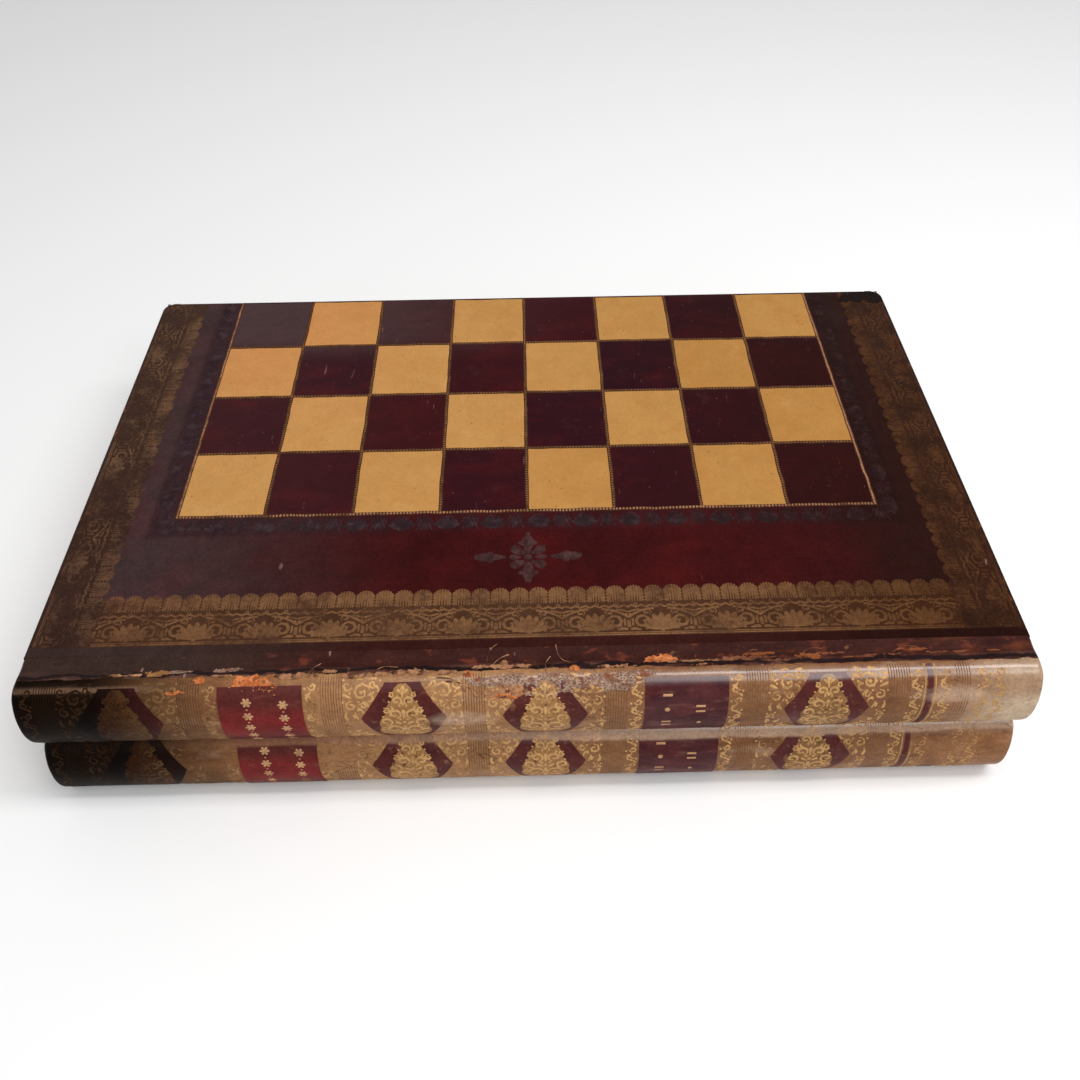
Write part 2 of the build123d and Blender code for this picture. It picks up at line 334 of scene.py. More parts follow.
def panel_ground(finish):
    """Crimson in the middle, a painted grey sheen over the left, near black to the right and under the blind
    roll.
    """
    clouds = finish.wear(40, 0.3, 0.72, shift=3)
    middle = finish.times(left_end(finish, -20 * MM, -140 * MM), -1.0)
    middle = finish.plus(finish.step(finish.axis("X"), 160 * MM, 80 * MM), middle)
    clouds = finish.scaled(finish.times(clouds, middle), 0.8, 0.08)
    streaks = finish.wear(8, 0.35, 0.7, stretch=(0.22, 1, 1), shift=16)
    bright = finish.mix(clouds, colour(50, 13, 14), colour(73, 17, 17))
    bright = finish.mix(finish.times(streaks, 0.35), bright, colour(44, 13, 15))
    # Grey maroon to the left: a painted sheen laid into the colour.
    dull = finish.mix(finish.wear(26, 0.35, 0.65), colour(60, 44, 44), colour(70, 44, 45))
    sheen_patches = finish.times(left_end(finish, -45 * MM, -185 * MM), finish.wear(50, 0.1, 0.52, shift=8))
    panel = finish.mix(sheen_patches, bright, dull)
    far_right = finish.plus(finish.axis("X"), finish.scaled(finish.noise(22, shift=17), 0.05, -0.025))
    panel = finish.mix(finish.step(far_right, 140 * MM, 184 * MM), panel, colour(37, 15, 11))
    blind = finish.step(border_distance(finish, 0, 0), BLIND_ROLL * 1.15, BLIND_ROLL * 0.85)
    pressed = finish.mix(right_end(finish), colour(48, 28, 31), colour(29, 12, 8))
    much = finish.calc("MAXIMUM", finish.calc("MAXIMUM", left_end(finish), right_end(finish)), 0.35)
    return finish.mix(finish.times(blind, finish.times(much, 0.75)), panel, pressed)


def border_ground(finish):
    """Brown under the gilt roll, darkest at the right end."""
    sideways = finish.minus(finish.calc("ABSOLUTE", finish.axis("X")), BLOCK_HALF + PANEL_SIDE)
    brown = finish.mix(finish.noise(24, shift=5), colour(58, 36, 25), colour(82, 54, 36))
    side_brown = finish.mix(finish.noise(18, shift=7), colour(48, 31, 23), colour(70, 47, 35))
    brown = finish.mix(finish.step(sideways, -3 * MM, 3 * MM), brown, side_brown)
    brown = finish.shade(brown, right_end(finish), (0.66, 0.51, 0.41, 1))
    return finish.shade(brown, near_left(finish), NEAR_LEFT_TINT)


def cover_ground(finish):
    """The whole cover: panel, border and the strip beside the joint."""
    beyond = border_distance(finish, PANEL_SIDE, PANEL_FRONT)
    ground = finish.mix(finish.step(beyond, -0.3 * MM, 0.3 * MM), panel_ground(finish), border_ground(finish))
    strip = finish.mix(finish.noise(12), colour(40, 16, 14), colour(60, 27, 21))
    strip = finish.shade(strip, right_end(finish), (0.42, 0.4, 0.36, 1))
    # Greyer to the left end: the same painted sheen as on the panel.
    strip = finish.mix(left_end(finish, -50 * MM), strip, colour(56, 41, 38))
    return finish.mix(finish.step(beyond, BAND - 0.2 * MM, BAND + 0.8 * MM), ground, strip)


print("the cover's ground colour is written")

# %% [markdown]
# Wear comes on top of the ground: scuffs, dark spots, pale nicks, a dark line where the leather turns over
# the edge, and places near the edge that are rubbed through to the raw brown.

# %% The cover's leather
cover_calf = Finish("cover_calf", 0.45)
scuffs = cover_calf.wear(9, 0.70, 0.78, stretch=(1.0, 0.4, 1.0))
spots = cover_calf.wear(3.2, 0.72, 0.78, shift=4)
edge = cover_calf.minus(HALF, cover_calf.calc("ABSOLUTE", cover_calf.axis("X")))
edge = cover_calf.calc("MINIMUM", edge, cover_calf.minus(COVER_BACK, cover_calf.axis("Y")))
rubbed = cover_calf.step(edge, 4.6 * MM, 0.6 * MM)
rubbed = cover_calf.times(rubbed, cover_calf.wear(7, 0.57, 0.7, shift=9))
dark_edge = cover_calf.times(cover_calf.step(edge, 1.4 * MM, 0.2 * MM), 0.75)
tone = cover_calf.mix(scuffs, cover_ground(cover_calf), colour(100, 66, 62))
tone = cover_calf.mix(spots, tone, colour(24, 14, 14))
nicks = cover_calf.step(cover_calf.cells(26, stretch=(1.0, 0.5, 1.0)), 0.05, 0.025)
tone = cover_calf.mix(cover_calf.times(nicks, 0.6), tone, colour(136, 102, 94))
tone = cover_calf.mix(dark_edge, tone, colour(22, 13, 11))
tone = cover_calf.mix(rubbed, tone, colour(116, 64, 46))
gloss = cover_calf.wear(16, 0.2, 0.9, shift=2)
cover_calf.paint(tone, cover_calf.scaled(gloss, 0.3, 0.28))
cover_calf.grain(0.8, 0.05)

# %% [markdown]
# The blind roll and the fleuron were pressed into the same leather with a hot tool and no gold, which
# burnishes it dark and leaves grey wax in the hollows.

# %% Blind tooling
blind_calf = Finish("blind_tooled_calf", 0.5)
waxy = blind_calf.wear(5, 0.42, 0.72)
tone = blind_calf.mix(waxy, colour(44, 30, 34), colour(66, 50, 54))
blind_calf.paint(blind_calf.shade(tone, right_end(blind_calf, -30 * MM), (0.72, 0.53, 0.44, 1)))
blind_calf.grain(0.6, 0.04)

waxed_calf = Finish("waxed_fleuron_calf", 0.5)
waxy = waxed_calf.wear(4, 0.36, 0.68)
waxed_calf.paint(waxed_calf.mix(waxy, colour(54, 32, 32), colour(76, 50, 50)))
waxed_calf.grain(0.6, 0.04)

# %% [markdown]
# Pale glare is painted on the spines: two painted highlights on the upper spine, and a painted highlight
# along the shoulder of the lower one, which the upper volume's overhang keeps from the lamp. Everything that
# lies on a spine, gold as well as leather, has to pale in the same places, so one function does it for all
# their finishes. Noise on the height keeps the bounds ragged.

# %% Where glare is painted on the spine
GLARE_PLACES = ((-30 * MM, 17 * MM, 16.5 * MM), (178 * MM, 18 * MM, 9.5 * MM))
GLARE_REACH = 5 * MM


def painted_glare(finish, tone):
    """Paints a pale glare into a tone in two places on the upper spine, and along the shoulder of the lower
    one.
    """
    wobble = finish.scaled(finish.noise(14, stretch=(0.5, 1, 1), shift=23), 2.4 * MM, -1.2 * MM)
    height = finish.plus(finish.axis("Z"), wobble)
    deeper = finish.minus(right_end(finish, -20 * MM, 50 * MM), right_end(finish, 110 * MM, 200 * MM))
    reach = finish.scaled(deeper, 1.2 * MM, height)
    # A painted highlight along the lower volume's shoulder.
    shoulder = finish.step(reach, SEAM - 4.3 * MM, SEAM - 2.9 * MM)
    shoulder = finish.times(shoulder, finish.step(finish.axis("Z"), SEAM - 0.3 * MM, SEAM - 0.9 * MM))
    pale = finish.mix(left_end(finish, 40 * MM, -120 * MM), colour(186, 152, 124), colour(154, 108, 80))
    tone = finish.mix(finish.times(shoulder, 0.76), tone, pale)
    # Two painted highlights on the upper spine.
    for middle, half_length, below_top in GLARE_PLACES:
        aside = finish.calc("DIVIDE", finish.minus(finish.axis("X"), middle), half_length)
        down = finish.calc("DIVIDE", finish.minus(height, TOP - below_top), GLARE_REACH)
        away = finish.plus(finish.times(aside, aside), finish.times(down, down))
        ragged = finish.noise(6, stretch=(0.5, 1, 1), shift=26)
        away = finish.scaled(ragged, 2.2, finish.minus(away, 1.1))
        tone = finish.mix(finish.times(finish.step(away, 1.2, -0.3), 0.5), tone, colour(206, 178, 154))
    return tone


print("places rubbed pale:", len(GLARE_PLACES))

# %% [markdown]
# Gold leaf that has been rubbed for a century and a half: dull and broken, with the brown leather showing
# where it has gone. The same recipe serves the roll, the fillets and the spine, with more or less gold left.
# The bar under the fillets' beads has no gold at all.

# %% Gilding
def gilding(name, leather_tone, gold_tone, pale_tone, missing, metallic=0.2, dirt_and_shade_tone=None, right_tint=None,
            fading=0.0):
    """Old gold over leather. The gold is whole where the noise lies below the first missing level."""
    finish = Finish(name, 0.45, metallic)
    leaf_tone = finish.mix(finish.noise(2.5, shift=6), gold_tone, pale_tone)
    level = finish.scaled(left_end(finish, 0.0, -HALF), 0.1, finish.noise(14, detail=6.0, shift=1))
    if right_tint:
        level = finish.scaled(right_end(finish), fading, level)
    fine = finish.scaled(finish.noise(1.3, shift=7), 0.5, -0.25)
    gone = finish.step(finish.plus(level, fine), *missing)
    tone = finish.mix(gone, leaf_tone, leather_tone)
    if dirt_and_shade_tone:
        tone = painted_glare(finish, tone)
        # Dark towards the spine's left end: dirt, and painted shade, as the light falls from the right.
        tone = finish.mix(finish.times(left_end(finish, -96 * MM, -186 * MM), 0.96), tone, dirt_and_shade_tone)
    if right_tint:
        tone = finish.shade(tone, right_end(finish), right_tint)
        tone = finish.shade(tone, near_left(finish), NEAR_LEFT_TINT)
    finish.paint(tone)
    finish.grain(0.7, 0.03)
    return finish


roll_gold = gilding("roll_gold", colour(76, 49, 35), colour(103, 71, 46), colour(126, 90, 60),
                    (0.42, 0.78), right_tint=(0.52, 0.45, 0.37, 1), fading=0.03)
side_gold = gilding("side_roll_gold", colour(58, 39, 31), colour(89, 64, 47), colour(110, 81, 57),
                    (0.4, 0.72), right_tint=(0.57, 0.42, 0.31, 1), fading=0.05)
fillet_gold = gilding("fillet_gold", colour(84, 52, 36), colour(116, 78, 50), colour(136, 94, 62),
                      (0.42, 0.75))
line_gold = gilding("outer_line_gold", colour(90, 56, 42), colour(142, 96, 68), colour(174, 126, 96),
                    (0.45, 0.8))
spine_gold = gilding("spine_gold", colour(118, 78, 50), colour(182, 138, 88), colour(208, 166, 114),
                     (0.5, 0.8), dirt_and_shade_tone=colour(31, 14, 3), right_tint=(0.86, 0.85, 0.82, 1))
label_gold = gilding("label_gold", colour(110, 60, 44), colour(176, 128, 88), colour(208, 166, 128),
                     (0.5, 0.8))
rule_brown = gilding("rule_brown", colour(128, 90, 62), colour(104, 70, 46), colour(126, 88, 60),
                     (0.45, 0.75), metallic=0.0, dirt_and_shade_tone=colour(17, 7, 1))

fillet_calf = Finish("fillet_calf", 0.5)
fillet_calf.paint(fillet_calf.mix(fillet_calf.noise(6), colour(48, 29, 20), colour(80, 51, 34)))
fillet_calf.grain(0.5, 0.03)

# %% [markdown]
# The squares are thin calf, waxed and played on. The light ones are tan, with pores, spots and soiled
# places. White noise on the number of the square gives each its own shade.

# %% The light squares' leather
def square_number(finish):
    """A random number that is the same all over one square."""
    column = finish.calc("FLOOR", finish.calc("DIVIDE", finish.plus(finish.axis("X"), BLOCK_HALF), SQUARE))
    row = finish.calc("FLOOR", finish.calc("DIVIDE", finish.minus(finish.axis("Y"), SQUARES_FRONT), SQUARE))
    pair = finish.add("ShaderNodeCombineXYZ", {"X": column, "Y": row}).outputs["Vector"]
    return finish.add("ShaderNodeTexWhiteNoise", {"Vector": pair}).outputs["Value"]


light_calf = Finish("light_square_calf", 0.42)
tan = light_calf.mix(square_number(light_calf), colour(182, 132, 74), colour(190, 142, 84))
cloud = light_calf.wear(15, 0.35, 0.75)
tan = light_calf.mix(light_calf.times(cloud, 0.5), tan, colour(178, 124, 66))
pale = light_calf.wear(21, 0.55, 0.8, shift=6)
tan = light_calf.mix(light_calf.times(pale, 0.5), tan, colour(200, 154, 98))
far_back = light_calf.step(light_calf.axis("Y"), SQUARES_FRONT, SQUARES_FRONT + 4 * SQUARE)
corner = light_calf.times(left_end(light_calf), far_back)
tan = light_calf.mix(light_calf.times(corner, 0.6), tan, colour(202, 132, 82))
pores = light_calf.step(light_calf.cells(2.3), 0.2, 0.08)
pores = light_calf.times(pores, light_calf.wear(9, 0.52, 0.68, shift=5))
spots = light_calf.step(light_calf.cells(8), 0.085, 0.045)
flaws = light_calf.times(light_calf.calc("MAXIMUM", pores, spots), 0.52)
tan = light_calf.mix(flaws, tan, colour(122, 74, 38))
soiled = light_calf.times(light_calf.wear(6, 0.62, 0.8, shift=9), 0.3)
# Darker towards the right: painted shade that evens out the stronger light from the lamp on the right.
tan = light_calf.shade(tan, right_end(light_calf, -60 * MM, 120 * MM), (0.86, 0.83, 0.74, 1))
light_calf.paint(light_calf.mix(soiled, tan, colour(150, 100, 56)), mottle=0.12)
light_calf.grain(0.9, 0.04)

# %% [markdown]
# The dark squares are maroon. Some have gone almost black, those at the back left are dusty, and light
# scratches run across them.

# %% The dark squares' leather
dark_calf = Finish("dark_square_calf", 0.4)
maroon = dark_calf.mix(square_number(dark_calf), colour(40, 14, 21), colour(54, 16, 19))
red_cloud = dark_calf.wear(14, 0.45, 0.75, stretch=(0.5, 1, 1), detail=6.0)
maroon = dark_calf.mix(dark_calf.times(red_cloud, 0.6), maroon, colour(74, 20, 22))
maroon = dark_calf.mix(dark_calf.times(right_end(dark_calf, 20 * MM), 0.8), maroon, colour(36, 12, 9))
last_row = dark_calf.step(dark_calf.axis("Y"), SQUARES_FRONT + 2.6 * SQUARE, SQUARES_FRONT + 3.2 * SQUARE)
dusty = dark_calf.times(left_end(dark_calf, 40 * MM), last_row)
maroon = dark_calf.mix(dark_calf.times(dusty, 0.85), maroon, colour(72, 58, 58))
# Greyer towards the left end: a painted sheen.
maroon = dark_calf.mix(dark_calf.times(left_end(dark_calf), 0.3), maroon, colour(72, 40, 42))
scratch = dark_calf.wear(2.2, 0.68, 0.76, stretch=(1.0, 0.15, 1.0))
specks = dark_calf.step(dark_calf.cells(7), 0.06, 0.03)
rubs = dark_calf.times(dark_calf.wear(11, 0.58, 0.78, shift=12), 0.25)
marks = dark_calf.times(dark_calf.calc("MAXIMUM", scratch, specks), 0.45)
maroon = dark_calf.mix(rubs, maroon, colour(84, 50, 52))
dark_calf.paint(dark_calf.mix(marks, maroon, colour(140, 98, 94)), mottle=0.2)
dark_calf.grain(0.9, 0.04)

# %% [markdown]
# The spine's leather is brown calf washed with gold size, so it shows tan. It is darker towards the head,
# partly dirt from the hands that pulled it from the shelf and partly painted shade, as the light falls from
# the right, and a painted glare makes it pale at the other end.

# %% The spine's ground colour
def spine_ground(finish):
    """Brown calf with streaks, darker to the left end and painted with glare at the right end."""
    brown = finish.mix(finish.noise(5, stretch=(0.4, 1, 1)), colour(120, 78, 50), colour(162, 116, 78))
    streaks = finish.wear(9, 0.5, 0.75, stretch=(0.25, 1, 1), shift=4)
    brown = finish.mix(finish.times(streaks, 0.7), brown, colour(112, 66, 46))
    haze = finish.wear(13, 0.56, 0.74, stretch=(0.5, 1, 1), shift=18)
    brown = finish.mix(finish.times(haze, 0.6), brown, colour(180, 150, 124))
    rubbed = finish.times(left_end(finish, 60 * MM, 0.0), finish.step(finish.axis("X"), -120 * MM, -80 * MM))
    brown = finish.mix(finish.times(rubbed, 0.4), brown, colour(180, 136, 94))
    # A painted glare at the right end of the upper spine, paler below the shoulder.
    upper_only = finish.step(finish.axis("Z"), SEAM - 1 * MM, SEAM + 1 * MM)
    share = finish.scaled(finish.step(finish.axis("Z"), TOP - 7 * MM, TOP - 15 * MM), 0.4, 0.3)
    end_glare = finish.times(finish.step(finish.axis("X"), 172 * MM, 206 * MM), share)
    end_glare = finish.times(end_glare, upper_only)
    brown = finish.mix(end_glare, brown, colour(208, 188, 160))
    short_of_end = finish.step(finish.axis("X"), 186 * MM, 160 * MM)
    dull_right = finish.times(right_end(finish, -10 * MM, 40 * MM), short_of_end)
    brown = finish.shade(brown, dull_right, (0.82, 0.8, 0.79, 1))
    brown = painted_glare(finish, brown)
    # Near black at the left end: dirt, and painted shade, as the light falls from the right.
    soiled = finish.mix(left_end(finish, -112 * MM, -186 * MM), brown, colour(21, 9, 2))
    soiled = finish.mix(finish.step(finish.axis("X"), -188 * MM, -212 * MM), soiled, colour(12, 4, 0))
    # A painted highlight in a thin line along the shoulder at the left end.
    rim = finish.calc("ABSOLUTE", finish.minus(finish.axis("Z"), TOP - 0.9 * MM))
    rim = finish.times(finish.step(rim, 0.7 * MM, 0.2 * MM), left_end(finish, -60 * MM, -100 * MM))
    rim = finish.times(rim, finish.wear(9, 0.35, 0.6, stretch=(0.3, 1, 1), shift=21))
    return finish.mix(finish.times(rim, 0.8), soiled, colour(112, 84, 66))


print("the spine's ground colour is written")

# %% [markdown]
# Where the spine turns over, palms have polished it. The polish is a clear coat over the leather, whose
# weight is painted along the shoulders, so that a lamp draws one long highlight there and none on the rest.

# %% The polish on the shoulders
POLISH = 0.2


def polish(finish):
    """How polished the spine is: most along the shoulders, and more to the right than to the left."""
    upper = finish.step(finish.axis("Z"), TOP - 3.5 * MM, TOP - 1.4 * MM)
    lower = finish.step(finish.axis("Z"), spine_low.z - 7.0 * MM, spine_low.z - 3.0 * MM)
    lower = finish.times(lower, finish.step(finish.axis("Z"), SEAM + 2 * MM, SEAM))
    shoulder = finish.calc("MAXIMUM", upper, lower)
    rubbed = finish.wear(15, 0.42, 0.75, stretch=(0.35, 1, 1), shift=15)
    everywhere = finish.scaled(rubbed, 0.25, 0.05)
    right = finish.scaled(right_end(finish, -150 * MM, 80 * MM), 0.95, 0.05)
    forward = finish.step(finish.axis("Y"), CREST_LINE + 0.4 * MM, CREST_LINE - 1.2 * MM)
    return finish.times(finish.calc("MAXIMUM", shoulder, everywhere), finish.times(right, forward))


print("polish up to a roughness of", POLISH)

# %% [markdown]
# Behind the crest the same leather has lost its gold and gone maroon, with rust smears, dust, nicks and one
# long crack. That part is painted as a second leather, and a ragged line divides it from the gilt one.

# %% The spine's leather
spine_calf = Finish("spine_calf", 0.45)
behind = spine_calf.step(spine_calf.axis("Y"), CREST_LINE - 0.3 * MM, CREST_LINE + 2.2 * MM)
ragged = spine_calf.scaled(spine_calf.noise(7, detail=8.0, stretch=(0.6, 1, 1), shift=11), 2.4, -1.2)
behind = spine_calf.step(spine_calf.plus(behind, ragged), 0.35, 0.6)
joint = spine_calf.mix(spine_calf.noise(4, stretch=(0.3, 1, 1)), colour(32, 14, 14), colour(76, 41, 35))
crack = spine_calf.minus(spine_calf.axis("Y"), CREST_LINE + 2.6 * MM)
crack = spine_calf.plus(crack, spine_calf.scaled(spine_calf.noise(12, shift=20), 0.008, -0.004))
crack = spine_calf.step(spine_calf.calc("ABSOLUTE", crack), 1.5 * MM, 0.7 * MM)
joint = spine_calf.mix(left_end(spine_calf, -85 * MM, -150 * MM), joint, colour(58, 42, 37))
rust = spine_calf.wear(6, 0.5, 0.7, stretch=(0.25, 1, 1), shift=19)
joint = spine_calf.mix(spine_calf.times(right_end(spine_calf, 40 * MM), rust), joint, colour(92, 48, 30))
dusty = spine_calf.step(spine_calf.axis("Y"), CREST_LINE + 6 * MM, CREST_LINE + 3 * MM)
dusty = spine_calf.times(dusty, spine_calf.wear(8, 0.4, 0.64, stretch=(0.25, 1, 1), shift=25))
joint = spine_calf.mix(spine_calf.times(dusty, 0.5), joint, colour(116, 80, 68))
smears = spine_calf.wear(5, 0.57, 0.68, stretch=(0.55, 1, 1), shift=33)
smears = spine_calf.times(smears, right_end(spine_calf, -126 * MM, -104 * MM))
joint = spine_calf.mix(spine_calf.times(smears, 0.55), joint, colour(118, 58, 42))
nicks = spine_calf.step(spine_calf.cells(11, stretch=(1.5, 0.5, 1)), 0.1, 0.05)
joint = spine_calf.mix(spine_calf.times(nicks, 0.7), joint, colour(166, 128, 112))
joint = spine_calf.mix(spine_calf.times(crack, 0.85), joint, colour(24, 17, 20))
calf = spine_calf.mix(behind, spine_ground(spine_calf), joint)
cracked = spine_calf.step(spine_calf.cells(3.2, feature="DISTANCE_TO_EDGE", stretch=(0.3, 1, 1)), 0.04, 0.01)
cracked = spine_calf.times(cracked, spine_calf.wear(24, 0.5, 0.64, shift=3))
calf = spine_calf.mix(spine_calf.times(cracked, 0.6), calf, colour(44, 28, 24))
spine_calf.coat(polish(spine_calf), POLISH)
spine_calf.paint(calf)
spine_calf.grain(0.9, 0.07)

# %% [markdown]
# Maroon onlays make the lozenges, and a plaque washed with gold lies on each. On the lower volume's left end
# both are painted nearly black, and darker still at the far left of both volumes: partly dirt, partly
# painted shade, as the light falls from the right.

# %% Lozenges and plaques
def low_left(finish):
    """The left end of the lower volume, painted dark on the onlays too: partly dirt, partly painted shade."""
    below = finish.step(finish.axis("Z"), SEAM + 1 * MM, SEAM - 1 * MM)
    return finish.times(left_end(finish, -108 * MM, -152 * MM), below)


onlay_calf = Finish("lozenge_onlay_calf", 0.45)
onlay_tone = onlay_calf.mix(onlay_calf.noise(7), colour(62, 26, 26), colour(98, 46, 42))
onlay_tone = onlay_calf.mix(onlay_calf.wear(4, 0.56, 0.75), onlay_tone, colour(126, 84, 64))
onlay_calf.coat(polish(onlay_calf), POLISH)
onlay_tone = painted_glare(onlay_calf, onlay_tone)
# Near black to the left: dirt, and painted shade, as the light falls from the right.
onlay_tone = onlay_calf.mix(onlay_calf.times(low_left(onlay_calf), 0.9), onlay_tone, colour(34, 16, 9))
onlay_calf.paint(onlay_calf.mix(left_end(onlay_calf, -125 * MM, -185 * MM), onlay_tone, colour(10, 3, 1)))
onlay_calf.grain(0.8, 0.05)

plaque_calf = Finish("plaque_calf", 0.45)
washed = plaque_calf.mix(plaque_calf.noise(2.2, detail=6.0), colour(128, 88, 54), colour(180, 136, 86))
washed = plaque_calf.mix(plaque_calf.wear(2.4, 0.56, 0.68, shift=2), washed, colour(98, 62, 38))
washed = plaque_calf.shade(washed, right_end(plaque_calf, 0, 100 * MM), (0.72, 0.7, 0.7, 1))
washed = painted_glare(plaque_calf, washed)
plaque_calf.coat(polish(plaque_calf), POLISH)
# Near black to the left: dirt, and painted shade, as the light falls from the right.
washed = plaque_calf.mix(plaque_calf.times(low_left(plaque_calf), 0.6), washed, colour(44, 22, 9))
plaque_calf.paint(plaque_calf.mix(left_end(plaque_calf, -112 * MM, -184 * MM), washed, colour(42, 18, 5)))
plaque_calf.grain(0.7, 0.04)

# %% [markdown]
# The two labels are morocco, a goat leather with a clear grain. The title's is red, painted brighter at mid
# height and darker above and below as painted light and shade on its curve, and the number's is the colour
# of wine.

# %% The labels' leather
title_morocco = Finish("title_label_morocco", 0.4)
# Painted light and shade on the label's curve: brightest at mid height.
band_height = title_morocco.calc("MODULO", title_morocco.minus(TOP, title_morocco.axis("Z")), VOLUME)
away = title_morocco.calc("ABSOLUTE", title_morocco.minus(band_height, 0.46 * VOLUME))
lit_band = title_morocco.step(away, 0.36 * VOLUME, 0.04 * VOLUME)
red = title_morocco.mix(lit_band, colour(88, 42, 38), colour(128, 42, 40))
streaks = title_morocco.wear(7, 0.35, 0.7, stretch=(0.4, 1, 1))
red = title_morocco.mix(title_morocco.times(streaks, 0.4), red, colour(80, 26, 30))
rubs = title_morocco.times(title_morocco.wear(4, 0.54, 0.72, stretch=(0.4, 1, 1)), 0.7)
title_morocco.coat(polish(title_morocco), POLISH)
title_morocco.paint(painted_glare(title_morocco, title_morocco.mix(rubs, red, colour(112, 60, 52))))
title_morocco.grain(0.9, 0.05)

number_morocco = Finish("number_label_morocco", 0.4)
streaks = number_morocco.wear(9, 0.35, 0.7, stretch=(0.4, 1, 1))
wine = number_morocco.mix(streaks, colour(66, 30, 34), colour(92, 42, 42))
rubs = number_morocco.times(number_morocco.wear(4, 0.54, 0.72, stretch=(0.4, 1, 1)), 0.6)
number_morocco.coat(polish(number_morocco), POLISH)
number_morocco.paint(painted_glare(number_morocco, number_morocco.mix(rubs, wine, colour(112, 78, 70))))
number_morocco.grain(0.9, 0.05)

# %% [markdown]
# Where the joint has torn, the raw side of the leather shows, orange and fibrous, and the surface that is
# left has gone grey.

# %% Torn leather
raw_hide = Finish("raw_hide", 0.85)
hide = raw_hide.mix(raw_hide.wear(3.2, 0.35, 0.65, detail=6.0), colour(172, 92, 50), colour(222, 138, 86))
hide = raw_hide.mix(left_end(raw_hide, -150 * MM, -153 * MM), hide, colour(158, 114, 72))
hide = raw_hide.mix(raw_hide.times(right_end(raw_hide, 66 * MM, 84 * MM), 0.75), hide, colour(104, 56, 34))
raw_hide.paint(raw_hide.mix(raw_hide.wear(3, 0.54, 0.66), hide, colour(124, 72, 46)), mottle=0.4)
raw_hide.grain(0.5, 0.15)

frayed_hide = Finish("frayed_hide", 0.8)
pale = frayed_hide.mix(frayed_hide.noise(1.8), colour(130, 84, 58), colour(204, 152, 112))
pale = frayed_hide.mix(right_end(frayed_hide, 60 * MM, 100 * MM), pale, colour(126, 76, 54))
frayed_hide.paint(frayed_hide.mix(frayed_hide.wear(4, 0.46, 0.64), pale, colour(84, 52, 42)), mottle=0.5)
frayed_hide.grain(0.5, 0.12)

scuffed_hide = Finish("scuffed_hide", 0.6)
flecks = scuffed_hide.cells(1.1, feature="DISTANCE_TO_EDGE", stretch=(0.7, 1, 1))
flecks = scuffed_hide.times(scuffed_hide.step(flecks, 0.2, 0.06), scuffed_hide.wear(3, 0.36, 0.56))
grey = scuffed_hide.mix(flecks, colour(130, 98, 82), colour(180, 152, 134))
scuffed_hide.paint(scuffed_hide.mix(scuffed_hide.wear(5, 0.5, 0.64), grey, colour(128, 80, 56)), mottle=0.5)
scuffed_hide.grain(0.5, 0.15)

# %% [markdown]
# The rest is plainer: the dark calf on the rims, the wood whose grooves pass for page edges, green and red
# leather in the trays, and brass that has gone brown.

# %% Rims, pages, linings, points and brass
def plain_leather(name, dark, light, worn):
    """One leather with two shades and a few rubbed places."""
    finish = Finish(name, 0.45)
    ground = finish.mix(finish.noise(12), dark, light)
    rubbed_off = finish.wear(6, 0.62, 0.74)
    finish.paint(finish.mix(rubbed_off, ground, worn))
    finish.grain(0.8, 0.05)
    return finish


rim_calf = plain_leather("rim_calf", colour(40, 24, 20), colour(62, 34, 28), colour(110, 74, 54))
table_green = plain_leather("table_leather", colour(26, 44, 32), colour(38, 62, 44), colour(70, 84, 64))
wall_green = plain_leather("wall_leather", colour(24, 40, 30), colour(34, 54, 40), colour(66, 78, 62))
cream_point = plain_leather("cream_point_leather", colour(196, 168, 118), colour(216, 190, 142),
                            colour(156, 124, 80))
red_point = plain_leather("red_point_leather", colour(104, 22, 24), colour(136, 34, 34), colour(90, 44, 38))
repair_calf = plain_leather("repair_calf", colour(16, 12, 12), colour(30, 20, 18), colour(52, 34, 28))

page_gilt = Finish("page_edges", 0.5)
paper = page_gilt.mix(page_gilt.noise(3, stretch=(0.05, 0.05, 1)), colour(126, 96, 58), colour(190, 160, 108))
foxing = page_gilt.wear(9, 0.55, 0.75, stretch=(0.5, 0.5, 1))
page_gilt.paint(page_gilt.mix(foxing, paper, colour(96, 64, 38)))
page_gilt.grain(0.5, 0.04)

bare_pine = Finish("bare_pine", 0.6)
pine = bare_pine.mix(bare_pine.noise(4, stretch=(0.06, 1, 1)), colour(150, 112, 70), colour(188, 148, 98))
bare_pine.paint(pine)

brass = Finish("aged_brass", 0.34, 0.9)
bright = brass.mix(brass.noise(4), colour(150, 114, 54), colour(190, 152, 82))
brass.paint(brass.mix(brass.wear(3, 0.5, 0.72), bright, colour(92, 66, 38)))
brass.grain(0.4, 0.01)

# %% [markdown]
# Modelling goes on as it would by hand, with operators. Every piece starts as a primitive that is added at
# its size and place, and has that size and place put into its mesh at once. An operator works on all that is
# selected, so these helpers always clear the selection first.

# %% Starting a piece
NEAR = 0.01 * MM


def activate(piece):
    """Makes one piece the only one that is selected, and the active one."""
    bpy.ops.object.select_all(action="DESELECT")
    piece.select_set(True)
    bpy.context.view_layer.objects.active = piece
    return piece


def settle(piece, name):
    """Names a fresh primitive and puts its place and size into its mesh."""
    piece.name = name
    activate(piece)
    bpy.ops.object.transform_apply(location=True, rotation=True, scale=True)
    return piece


def block(name, low, high):
    """A cube between two corners."""
    low, high = Vector(low), Vector(high)
    bpy.ops.object.select_all(action="DESELECT")
    bpy.ops.mesh.primitive_cube_add(size=1, location=(low + high) / 2)
    bpy.context.object.scale = high - low
    return settle(bpy.context.object, name)


